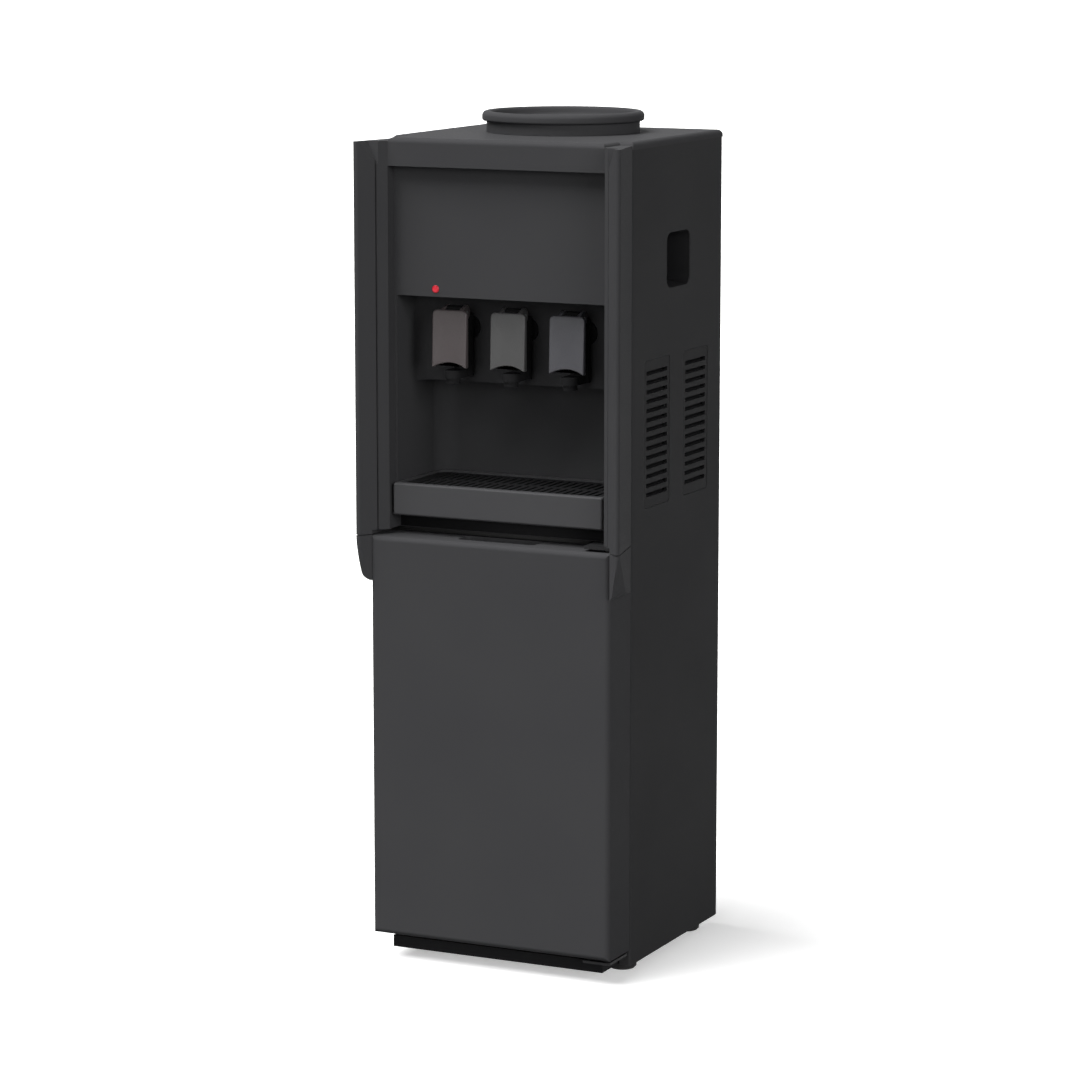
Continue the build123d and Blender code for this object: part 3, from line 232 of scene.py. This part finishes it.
def coatedSteel(name, look):
    # powder coat or enamel on sheet: the paint flows into a low orange peel before it sets
    material, tree, place = newMaterial(name)
    peel = addNode(tree, "ShaderNodeTexVoronoi", {"feature": "SMOOTH_F1"}, {
        "Scale": perMm(look["peelMm"]), "Smoothness": 1.0}, {"Vector": place})
    cloud = addNode(tree, "ShaderNodeTexNoise", inputs={
        "Scale": perMm(look["cloudMm"]), "Detail": 2.0}, links={"Vector": place})
    swellMm = look["peelMm"] * 0.1  # swells are a tenth as high as they are wide
    surfaceOf(tree, {"IOR": look["ior"], "Specular IOR Level": look["specular"]}, {
        "Base Color": mixColours(tree, look["colour"], look["second"], cloud.outputs["Fac"]),
        "Roughness": spreadGloss(tree, look, cloud.outputs["Fac"]),
        "Normal": raised(tree, look, peel.outputs["Distance"], swellMm)})
    return material


def zincSheet(name, look):
    # hot-dipped zinc: flat crystals that each reflect a little differently
    material, tree, place = newMaterial(name)
    spangle = addNode(tree, "ShaderNodeTexVoronoi", inputs={
        "Scale": perMm(look["spangleMm"]), "Randomness": 1.0}, links={"Vector": place})
    flake = addNode(tree, "ShaderNodeSeparateColor", links={"Color": spangle.outputs["Color"]})
    surfaceOf(tree, {"Metallic": look["metallic"]}, {
        "Base Color": mixColours(tree, look["colour"], look["second"], flake.outputs["Red"]),
        "Roughness": spreadGloss(tree, look, flake.outputs["Green"], 0.0, 1.0)})
    return material


def brushedSteel(name, look):
    # fine scratches round an upright axis, drawn out by stretching a noise sideways
    material, tree, place = newMaterial(name)
    stretch = addNode(tree, "ShaderNodeMapping", inputs={
        "Scale": (perMm(look["lengthMm"]), perMm(look["lengthMm"]), perMm(look["lineMm"]))},
        links={"Vector": place})
    lines = addNode(tree, "ShaderNodeTexNoise", inputs={"Scale": 1.0, "Detail": 2.0},
                    links={"Vector": stretch.outputs["Vector"]})
    scratchMm = look["lineMm"] * 0.2  # scratches are a fifth as deep as they are wide
    surfaceOf(tree, {"Metallic": 1.0, "Roughness": look["roughness"]}, {
        "Base Color": mixColours(tree, look["colour"], look["second"], lines.outputs["Fac"]),
        "Normal": raised(tree, look, lines.outputs["Fac"], scratchMm)})
    return material


def litLens(name, look):
    # tinted clear plastic over a lamp: brightest over the lamp, falling off to the edge
    material, tree, place = newMaterial(name)
    low, high = boxOf(look["node"])
    lamp = (low + high) / 2
    lamp[1] = low[1] + look["lampDeep"]
    fromLamp = addNode(tree, "ShaderNodeMapping", {"vector_type": "POINT"}, {
        "Location": tuple(-lamp / 1000.0)}, {"Vector": place})
    spread = addNode(tree, "ShaderNodeVectorMath", {"operation": "LENGTH"},
                     links={0: fromLamp.outputs["Vector"]})
    glow = addNode(tree, "ShaderNodeMapRange", {"interpolation_type": "SMOOTHSTEP"}, {
        "From Min": 0.0, "From Max": look["reachMm"] / 1000.0, "To Min": look["glow"][1],
        "To Max": look["glow"][0]}, {"Value": spread.outputs["Value"]})
    surfaceOf(tree, {
        "Base Color": hexLinear(look["colour"]), "Emission Color": hexLinear(look["lamp"]),
        "Roughness": look["roughness"], "IOR": look["ior"], "Specular IOR Level": look["specular"]},
        {"Emission Strength": glow.outputs["Result"]})
    return material


# The grain of the real mouldings is about 0.3 mm: it is drawn coarser, so that it shows in a render
finishes = {
    "housing": mouldedPlastic("black ABS, spark-textured", {
        "colour": "#434344", "second": "#3e3e40", "roughness": (0.44, 0.6), "ior": 1.5, "specular": 0.003,
        "grainMm": 1.6, "cloudMm": 140.0, "bump": 0.12}),
    "side_sheet": coatedSteel("steel sheet, black powder coat", {
        "colour": "#3f3f40", "second": "#3b3b3c", "roughness": (0.42, 0.52), "ior": 1.5, "specular": 0.0015,
        "peelMm": 3.2, "cloudMm": 180.0, "bump": 0.1}),
    "dark_trim": mouldedPlastic("black polypropylene, matt", {
        "colour": "#232324", "second": "#1e1e1f", "roughness": (0.5, 0.66), "ior": 1.49, "specular": 0.02,
        "grainMm": 1.2, "cloudMm": 60.0, "bump": 0.15}),
    "tray": mouldedPlastic("black ABS, satin", {
        "colour": "#464647", "second": "#404042", "roughness": (0.38, 0.5), "ior": 1.5, "specular": 0.06,
        "grainMm": 1.4, "cloudMm": 90.0, "bump": 0.08}),
    "lens": litLens("red polycarbonate lens", {
        "colour": "#8e1020", "lamp": "#ff2038", "roughness": 0.18, "ior": 1.58, "specular": 0.2,
        "node": "indicator_lens", "lampDeep": 1.2, "reachMm": 6.0, "glow": (0.12, 0.5)}),
    "liner": mouldedPlastic("grey polystyrene, vacuum-formed", {
        "colour": "#a2a3a5", "second": "#999a9c", "roughness": (0.3, 0.42), "ior": 1.55, "specular": 0.4,
        "grainMm": 5.0, "cloudMm": 120.0, "bump": 0.05}),
    "rubber": mouldedPlastic("black rubber, moulded", {
        "colour": "#1d1d1d", "second": "#181818", "roughness": (0.6, 0.75), "ior": 1.5, "specular": 0.25,
        "grainMm": 1.5, "cloudMm": 25.0, "bump": 0.2}),
    "hose": mouldedPlastic("silicone hose, milky", {
        "colour": "#d5d4cf", "second": "#c9c8c2", "roughness": (0.32, 0.42), "ior": 1.41, "specular": 0.5,
        "grainMm": 2.0, "cloudMm": 20.0, "bump": 0.05}),
    "zinc": zincSheet("hot-dipped zinc steel", {
        "colour": "#a1a4a6", "second": "#94979a", "roughness": (0.4, 0.5), "metallic": 0.85,
        "spangleMm": 7.0}),
    "stainless": brushedSteel("brushed stainless steel", {
        "colour": "#c0bfbc", "second": "#aeadaa", "roughness": 0.3, "lengthMm": 60.0, "lineMm": 0.9,
        "bump": 0.15}),
    "foam": mouldedPlastic("white expanded polystyrene", {
        "colour": "#ecebe8", "second": "#e2e1dd", "roughness": (0.8, 0.9), "ior": 1.4, "specular": 0.2,
        "grainMm": 3.5, "cloudMm": 40.0, "bump": 0.4}),
    "black_steel": coatedSteel("steel, black enamel", {
        "colour": "#262627", "second": "#212122", "roughness": (0.34, 0.46), "ior": 1.5, "specular": 0.08,
        "peelMm": 2.2, "cloudMm": 40.0, "bump": 0.08}),
}
# The levers are three tints of one glossy moulding, and the rockers two colours of another
leverLook = {"roughness": (0.26, 0.36), "ior": 1.53, "specular": 0.2,
             "grainMm": 1.0, "cloudMm": 30.0, "bump": 0.03}
rockerLook = {"roughness": (0.3, 0.4), "ior": 1.53, "specular": 0.4,
              "grainMm": 1.0, "cloudMm": 15.0, "bump": 0.04}
for slotName, finishName, colour, second, tinted in (
        ("hot_lever", "warm grey ABS, semi-gloss", "#4f494a", "#474242", leverLook),
        ("room_lever", "grey ABS, semi-gloss", "#4c4c4c", "#444444", leverLook),
        ("cold_lever", "cool grey ABS, semi-gloss", "#4c4c50", "#454549", leverLook),
        ("hot_rocker", "red nylon rocker", "#b3231f", "#a61f1b", rockerLook),
        ("cold_rocker", "green nylon rocker", "#2a8a48", "#267f42", rockerLook)):
    finishes[slotName] = mouldedPlastic(finishName, {"colour": colour, "second": second, **tinted})

# The grille shows darker than the tray that carries it
darker = {"drip_grille": "dark_trim"}
for subpart in frame["record"]["subparts"]:
    finish = darker.get(subpart["node"], subpart["material_slot"])
    for holder in nodes[subpart["node"]].material_slots:
        holder.material = finishes[finish]
print("finishes:", len(finishes))


# Push levers: paddles with rolled edges, a hollow face for the fingers and an arched lower edge
levers = {
    "names": ("hot", "room", "cold"), "thick": 6.0, "topOverPin": 4.0, "topRadius": 6.0, "footRadius": 2.5,
    "edge": 1.8, "arch": 7.0, "archFade": 5, "hollow": 2.6, "hollowFrom": 0.1, "hollowTo": 0.95,
    "hollowSpread": 0.7, "lip": 2.4, "earX": 12.0, "earThick": 4.0, "earRadius": 9.0, "earEdge": 0.6,
}


def leverPaddle(look, width, height, perCorner=10, footPoints=11):
    # rounded rectangle whose lower edge rises to the middle by arch*(1-(x/half)^2), fading out upwards
    half = width / 2
    outline = roundOutline(width, height, [look["footRadius"]] * 2 + [look["topRadius"]] * 2, perCorner)
    sides = np.linspace(-1, 1, footPoints + 2)[1:-1] * (half - look["footRadius"])
    foot = np.column_stack([sides, np.full(footPoints, -height / 2)])
    outline = np.concatenate([outline[:perCorner], foot, outline[perCorner:]])
    lift = np.clip(0.5 - outline[:, 1] / height, 0, 1) ** look["archFade"]
    outline[:, 1] += look["arch"] * (1 - (outline[:, 0] / half) ** 2) * lift

    def face(x, z):
        # hollow*(1-(x/half)^2) across, deepest at mid height, and a lip*(1-t)^2 that comes forward below
        t = np.clip(z / height + 0.5, 0, 1)
        across = np.clip(1 - (x / half) ** 2, 0, 1)
        along = np.sin(math.pi * np.clip(t, look["hollowFrom"], look["hollowTo"])) ** look["hollowSpread"]
        return look["lip"] * (1 - t) ** 2 - look["hollow"] * across * along

    return softPlate(outline, look["thick"], look["edge"], face, steps=6, rings=14)


def leverEar(look, reach, roundPoints=21):
    # flat ear behind the paddle, a round end about the pin carried forward to the paddle
    turn = np.linspace(-math.pi / 2, math.pi / 2, roundPoints)
    roundEnd = look["earRadius"] * np.column_stack([np.cos(turn), np.sin(turn)])
    flatEnd = np.array([(-reach, look["topOverPin"]), (-reach, -look["earRadius"])])
    return softPlate(np.concatenate([roundEnd, flatEnd]), look["earThick"], look["earEdge"], steps=3, rings=3)


for leverName in levers["names"]:
    leverLow, leverHigh = boxOf(leverName + "_tap_lever")
    leverX = (leverLow[0] + leverHigh[0]) / 2
    pin = pins[leverName + "_lever_push"]
    rearY = leverLow[1] + levers["thick"]
    topZ = pin[2] + levers["topOverPin"]
    paddle, paddleFaces = leverPaddle(levers, leverHigh[0] - leverLow[0], topZ - leverLow[2])
    ear, earFaces = leverEar(levers, pin[1] - rearY)
    surfaces = [(facing(paddle, "front", (leverX, rearY, (leverLow[2] + topZ) / 2)), paddleFaces)]
    for side in (-1, 1):
        earX = leverX + side * levers["earX"] - levers["earThick"] / 2
        surfaces.append((facing(ear, "right", (earX, pin[1], pin[2])), earFaces))
    putPiece(leverName + "Lever", surfaces, finishes[leverName + "_lever"], leverName + "_lever",
             stands=[leverName + "_tap_lever"])
print("levers:", len(levers["names"]))


# Bottle collar: a full rolled lip over a recessed neck, and the funnel down to the well
collar = {
    "lip": 96.5, "lipHeight": 11.5, "lipRound": 5.6, "lipUnder": 2.52, "neck": 91.2, "skirt": 90.0,
    "skirtDeep": 14.0, "throat": 85.0, "throatRound": 4.5, "throatStep": 2.0, "funnelDeep": 41.0,
    "wall": 3.0, "well": 30.0, "ledge": 4.0, "softEdge": 0.8, "segments": 160,
}


def roundCorners(corners, radii, steps=8):
    # polygon with each corner replaced by the arc that touches both its sides
    before, after = np.roll(corners, 1, 0) - corners, np.roll(corners, -1, 0) - corners
    before = before / np.linalg.norm(before, axis=1, keepdims=True)
    after = after / np.linalg.norm(after, axis=1, keepdims=True)
    halfAngle = np.arccos(np.clip((before * after).sum(1, keepdims=True), -1, 1)) / 2
    inward = (before + after) / np.linalg.norm(before + after, axis=1, keepdims=True)
    radius = radii[:, None]
    centre = corners + inward * radius / np.sin(halfAngle)
    reach = radius / np.tan(halfAngle)
    start, end = corners + before * reach - centre, corners + after * reach - centre
    share = np.linspace(0, 1, steps)[None, :, None]
    spoke = start[:, None] * (1 - share) + end[:, None] * share
    spoke = spoke / np.linalg.norm(spoke, axis=2, keepdims=True) * radius[:, None]
    return (centre[:, None] + spoke).reshape(-1, 2)


def collarProfile(look, foot, seat, top):
    # (radius, height) round the wall of the ring, from the foot of the well out, up and back down inside
    wall, soft = look["wall"], look["softEdge"]
    lipLow, funnelLow, skirtLow = top - look["lipHeight"], top - look["funnelDeep"], seat - look["skirtDeep"]
    ledge, throatLow = look["well"] - look["ledge"], look["throat"] - look["throatStep"]
    rows = np.array([
        (ledge, foot, soft), (look["well"] + wall, foot, soft),
        (look["well"] + wall, funnelLow - wall, soft), (look["throat"], lipLow - wall, soft),
        (look["throat"], skirtLow, soft), (look["skirt"], skirtLow, soft),
        (look["skirt"], seat, soft / 2), (look["neck"], seat, soft / 2),
        (look["neck"], lipLow, soft), (look["lip"], lipLow, look["lipUnder"]),
        (look["lip"], top, look["lipRound"]), (look["throat"], top, look["throatRound"]),
        (throatLow, lipLow + wall, look["throatRound"]), (look["well"], funnelLow, 2 * soft),
        (look["well"], foot + wall, soft), (ledge, foot + wall, soft),
    ])
    return roundCorners(rows[:, :2], rows[:, 2])


collarLow, collarHigh = boxOf("bottle_collar")
collarY = (collarLow[1] + collarHigh[1]) / 2
profile = collarProfile(collar, collarLow[2], boxOf("top_cover")[1][2], collarHigh[2])
# lathe: (r cos a, r sin a, z), turned clockwise so that the faces look outward
turn = np.linspace(2 * math.pi, 0, collar["segments"] + 1)[:-1]
lathe = np.stack([np.outer(np.cos(turn), profile[:, 0]), collarY + np.outer(np.sin(turn), profile[:, 0]),
                  np.tile(profile[:, 1], (len(turn), 1))], -1)
putPiece("bottleCollar", [(lathe, gridFaces(len(turn), len(profile), True, True))], finishes["housing"],
         "bottle_collar", stands=["bottle_collar"])
print("collar:", len(profile), "points round its wall")


# Seal under the housing, partly painted shade: a strip of black rubber that shuts the gap over the door, short of
# the hinge, and stands in for the shadow in that gap
sealShade = {"endGap": 0.6, "hingeGap": 10.0, "linerGap": 0.2, "deep": 15.8, "doorGap": 0.5, "sunk": 0.6,
        "round": 1.6}
# Painted shade in the finger recess: a matt black strip on its rear wall, darker than the housing, stands in for
# the shadow that makes the dark line over the door
recessShade = {"endGap": 2.0, "wallY": -112.0, "sunk": 0.3, "thick": 1.3, "lowGap": 0.6, "trayGap": 1.6,
          "round": 0.4}


def strip(ends, depths, heights, radius):
    # bar of a rounded section that runs across the part, between two ends, two depths and two heights
    section = roundOutline(depths[1] - depths[0], heights[1] - heights[0], [radius] * 4)
    section += np.array([sum(depths) / 2, sum(heights) / 2])
    return prism(section, ends[0], ends[1], 0)


housingLow, housingHigh = boxOf("front_housing")
sealShadeEnds = (boxOf("left_side_panel")[0][0] + sealShade["endGap"], boxOf("hinge_brackets")[0][0] - sealShade["hingeGap"])
sealShadeRear = boxOf("cabinet_liner")[0][1] - sealShade["linerGap"]
sealShadeHeights = (boxOf("door_shell")[1][2] + sealShade["doorGap"], housingLow[2] + sealShade["sunk"])
# painted shade: the dark rubber strip fills the gap over the door so that the gap reads as shadow
putPiece("partingSealShade", [strip(sealShadeEnds, (sealShadeRear - sealShade["deep"], sealShadeRear), sealShadeHeights, sealShade["round"])],
         finishes["rubber"], "cabinet")
recessShadeEnds = (housingLow[0] + recessShade["endGap"], housingHigh[0] - recessShade["endGap"])
recessShadeRear = recessShade["wallY"] + recessShade["sunk"]
recessShadeHeights = (housingLow[2] + recessShade["lowGap"], boxOf("drip_tray")[0][2] - recessShade["trayGap"])
# painted shade: a black strip on the recess wall over the door, where there is only shadow
putPiece("recessShadeStrip",
         [strip(recessShadeEnds, (recessShadeRear - recessShade["thick"], recessShadeRear), recessShadeHeights, recessShade["round"])],
         finishes["dark_trim"], "cabinet")
print("strips over the door done")


# Louvre blades behind the slots of the side vents
louvres = {
    "ventWidth": 84.0, "pitch": 11.0, "count": 14, "length": 60.0, "slot": 5.0, "setBack": 0.2,
    "depth": 9.0, "rise": 7.5, "thick": 1.1, "lean": 0.44,
}


def louvreProfile(look, points=9):
    # a blade that leaves the slot's lower edge and curls up inside: (depth*sin t, rise*(1-cos t))
    t = np.linspace(0, math.pi / 2, points)
    outer = np.column_stack([look["depth"] * np.sin(t), look["rise"] * (1 - np.cos(t))])
    inner = outer[::-1] + np.array([-look["lean"], look["thick"]])
    return np.concatenate([outer, inner])


ventLow, ventHigh = boxOf("right_vent_grilles")
ventPlaces = (ventLow[1] + louvres["ventWidth"] / 2, ventHigh[1] - louvres["ventWidth"] / 2)
slotRows = (np.arange(louvres["count"]) - (louvres["count"] - 1) / 2) * louvres["pitch"]
slotLows = (ventLow[2] + ventHigh[2]) / 2 + slotRows - louvres["slot"] / 2
blade = louvreProfile(louvres)
bladeX = ventLow[0] - louvres["setBack"] - blade[:, 0]
for sideName, sideWay in (("right", 1), ("left", -1)):
    surfaces = []
    for ventY in ventPlaces:
        for slotLow in slotLows:
            # the left side is a mirror image, so its profile runs the other way round
            section = np.column_stack([sideWay * bladeX, blade[:, 1] + slotLow])[::sideWay]
            surfaces.append(prism(section, ventY - louvres["length"] / 2, ventY + louvres["length"] / 2, 1))
    putPiece(sideName + "Louvres", surfaces, finishes["dark_trim"], "cabinet", smooth=False)
print("louvres done")


# Rear screws: pan heads with a cross recess
screws = {
    "span": 673.0, "rows": 4, "radius": 4.0, "proud": 2.2, "dome": 0.6, "crossLong": 2.2, "crossWide": 0.55,
    "crossDeep": 1.2, "slope": 0.35, "twistByRow": 0.7, "twistBySide": 0.4,
}


def screwHead(look, segments=64):
    # dome of height proud*sqrt(1-dome*(r/R)^2), less two crossed bars whose sides slope
    turn = np.linspace(0, 2 * math.pi, segments + 1)[:-1]
    crossRings = np.linspace(0.02, 0.66, 16)  # close together, so that the cross comes out sharp
    rimRings = (0.76, 0.87, 0.95, 1.0, 1.0)  # the last one is the foot of the head
    share = np.concatenate([crossRings, rimRings])
    r, a = np.meshgrid(share * look["radius"], turn, indexing="ij")
    across, up = r * np.cos(a), r * np.sin(a)

    def bar(p, q):
        wide = np.clip((look["crossWide"] + look["slope"] - np.abs(p)) / look["slope"], 0, 1)
        return wide * np.clip((look["crossLong"] + look["slope"] - np.abs(q)) / look["slope"], 0, 1)

    depth = look["proud"] * np.sqrt(1 - look["dome"] * (r / look["radius"]) ** 2)
    depth -= look["crossDeep"] * np.maximum(bar(across, up), bar(up, across))
    depth[-1] = 0.0
    return np.stack([across, up, depth], -1).reshape(-1, 3), cappedFaces(len(share), segments)


screwLow, screwHigh = boxOf("back_screws")
panelFace = boxOf("back_panel")[1][1]
headPoints, headFaces = screwHead(screws)
surfaces = []
for side in (-1, 1):
    screwX = side * (screwHigh[0] - screws["radius"])
    for k in range(screws["rows"]):
        screwZ = (screwLow[2] + screwHigh[2]) / 2 + screws["span"] * (k / (screws["rows"] - 1) - 0.5)
        twist = screws["twistByRow"] * k + screws["twistBySide"] * side  # each stopped at its own angle
        spin = np.array([[math.cos(twist), math.sin(twist), 0], [-math.sin(twist), math.cos(twist), 0],
                         [0, 0, 1]])
        surfaces.append((facing(headPoints @ spin, "rear", (screwX, panelFace, screwZ)), headFaces))
putPiece("rearScrewHeads", surfaces, finishes["zinc"], "cabinet", stands=["back_screws"])

# Condenser wires: round rods welded across the runs of the tube
rods = {"count": 16, "sides": 12}
rodsLow, rodsHigh = boxOf("condenser_wires")
rodRadius = (rodsHigh[1] - rodsLow[1]) / 2
turn = np.linspace(0, 2 * math.pi, rods["sides"] + 1)[:-1]
rodY = (rodsLow[1] + rodsHigh[1]) / 2
rodRing = np.column_stack([rodRadius * np.cos(turn), rodY + rodRadius * np.sin(turn)])
rodPlaces = np.linspace(rodsLow[0] + rodRadius, rodsHigh[0] - rodRadius, rods["count"])
surfaces = [prism(rodRing + np.array([rodX, 0.0]), rodsLow[2], rodsHigh[2], 2) for rodX in rodPlaces]
putPiece("condenserRods", surfaces, finishes["black_steel"], "cabinet",
         stands=["condenser_wires"])

# Compressor: the weld round the can where its halves meet, and the cover over its terminals
can = {
    "weldHeight": 54.0, "weldRound": 1.8, "weldSegments": 96, "weldSides": 12, "coverWidth": 44.0,
    "coverTall": 52.0, "coverDeep": 16.0, "coverHeight": 74.0, "coverInset": 7.0, "coverRadius": 5.0,
    "coverEdge": 3.0,
}
canLow, canHigh = boxOf("compressor")
canX, canY = (canLow[0] + canHigh[0]) / 2, (canLow[1] + canHigh[1]) / 2
canRadius = (canHigh[1] - canLow[1]) / 2
# torus: (R + w cos b) about the can's axis, w sin b up, turned clockwise so that the faces look outward
a, b = np.meshgrid(np.linspace(2 * math.pi, 0, can["weldSegments"] + 1)[:-1],
                   np.linspace(0, 2 * math.pi, can["weldSides"] + 1)[:-1], indexing="ij")
weldReach = canRadius + can["weldRound"] * np.cos(b)
weld = np.stack([canX + weldReach * np.cos(a), canY + weldReach * np.sin(a),
                 canLow[2] + can["weldHeight"] + can["weldRound"] * np.sin(b)], -1)
putPiece("compressorWeld", [(weld, gridFaces(can["weldSegments"], can["weldSides"], True, True))],
         finishes["black_steel"], "cabinet")
coverOutline = roundOutline(can["coverWidth"], can["coverTall"], [can["coverRadius"]] * 4)
cover, coverFaces = softPlate(coverOutline, can["coverDeep"], can["coverEdge"])
coverPlace = (canX, canHigh[1] - can["coverInset"], canLow[2] + can["coverHeight"])
putPiece("compressorTerminalCover", [(facing(cover, "rear", coverPlace), coverFaces)], finishes["dark_trim"],
         "cabinet")
print("rear details done")


# Camera, from a perspective fit to the photograph's corners; the frame is square
view = {"eye": (1.9723, -4.1507, 1.2748), "target": (0.06667, -0.157, 0.5254), "lens": 129.6,
        "sensor": 36.0, "farClip": 200.0}
camera = addObject("camera", bpy.data.cameras.new("camera"))
camera.data.lens = view["lens"]
camera.data.sensor_width = view["sensor"]
camera.data.clip_end = view["farClip"]
camera.location = view["eye"]
sight = np.array(view["target"]) - np.array(view["eye"])
tilt = math.atan2(math.hypot(sight[0], sight[1]), -sight[2])
camera.rotation_euler = (tilt, 0.0, math.atan2(-sight[0], sight[1]))
bpy.context.scene.camera = camera

# Studio: a soft key from the front left and above, a weaker lamp from the right that reaches the side
# and the alcove's left wall, one by the camera, a low even fill, and a white ground
studio = {
    "lamps": {
        "key": {"from": (-0.37, -0.33, 0.87), "strength": 5.0, "angle": 50.0},
        "right": {"from": (0.84, -0.48, 0.26), "strength": 1.2, "angle": 30.0},
        "front": {"from": (0.15, -0.95, 0.2), "strength": 0.6, "angle": 30.0},
    },
    "fill": 0.1, "white": 1.0, "floor": "#f6f6f6", "glow": 0.45, "bounce": "#5c5c5c", "floorSize": 120.0,
}
for lampName, lamp in studio["lamps"].items():
    sun = bpy.data.lights.new(lampName, "SUN")
    sun.energy = lamp["strength"]
    sun.angle = math.radians(lamp["angle"])
    fromX, fromY, fromZ = lamp["from"]
    stand = addObject(lampName, sun)
    stand.rotation_euler = (math.atan2(math.hypot(fromX, fromY), fromZ), 0.0, math.atan2(fromX, -fromY))


def seenDirectly(tree):
    # 1 for camera, glossy and transmission rays, 0 for diffuse light
    path = addNode(tree, "ShaderNodeLightPath")
    first = addNode(tree, "ShaderNodeMath", {"operation": "MAXIMUM"}, links={
        0: path.outputs["Is Camera Ray"], 1: path.outputs["Is Glossy Ray"]})
    both = addNode(tree, "ShaderNodeMath", {"operation": "MAXIMUM"}, links={
        0: first.outputs["Value"], 1: path.outputs["Is Transmission Ray"]})
    return both.outputs["Value"]


# The white ground is what the camera and mirrors see; diffuse light on the object stays low
world = bpy.data.worlds.new("studio")
bpy.context.scene.world = world
world.use_nodes = True
worldTree = world.node_tree
worldTree.nodes.clear()
level = addNode(worldTree, "ShaderNodeMapRange", inputs={"To Min": studio["fill"], "To Max": studio["white"]},
                links={"Value": seenDirectly(worldTree)})
sky = addNode(worldTree, "ShaderNodeBackground", inputs={"Color": (1.0, 1.0, 1.0, 1.0)},
              links={"Strength": level.outputs["Result"]})
addNode(worldTree, "ShaderNodeOutputWorld", links={"Surface": sky.outputs["Background"]})

# The floor is a table lit from below, so that the shadow on it stays faint
table, tableTree = emptyMaterial("white acrylic table, lit from below")
tableSeen = seenDirectly(tableTree)
tableLit = addNode(tableTree, "ShaderNodeMath", {"operation": "MULTIPLY"}, {1: studio["glow"]},
                   {0: tableSeen})
surfaceOf(tableTree, {
    "Roughness": 1.0, "Specular IOR Level": 0.0, "Emission Color": hexLinear(studio["floor"])}, {
    "Base Color": mixColours(tableTree, studio["bounce"], studio["floor"], tableSeen),
    "Emission Strength": tableLit.outputs["Value"]})
half = studio["floorSize"] / 2
floorMesh = bpy.data.meshes.new("floor")
floorMesh.from_pydata([(-half, -half, 0), (half, -half, 0), (half, half, 0), (-half, half, 0)], [],
                      [(0, 1, 2, 3)])
floorMesh.materials.append(table)
floor = addObject("floor", floorMesh)
print("studio done")

bpy.context.scene.view_settings.view_transform = "Standard"
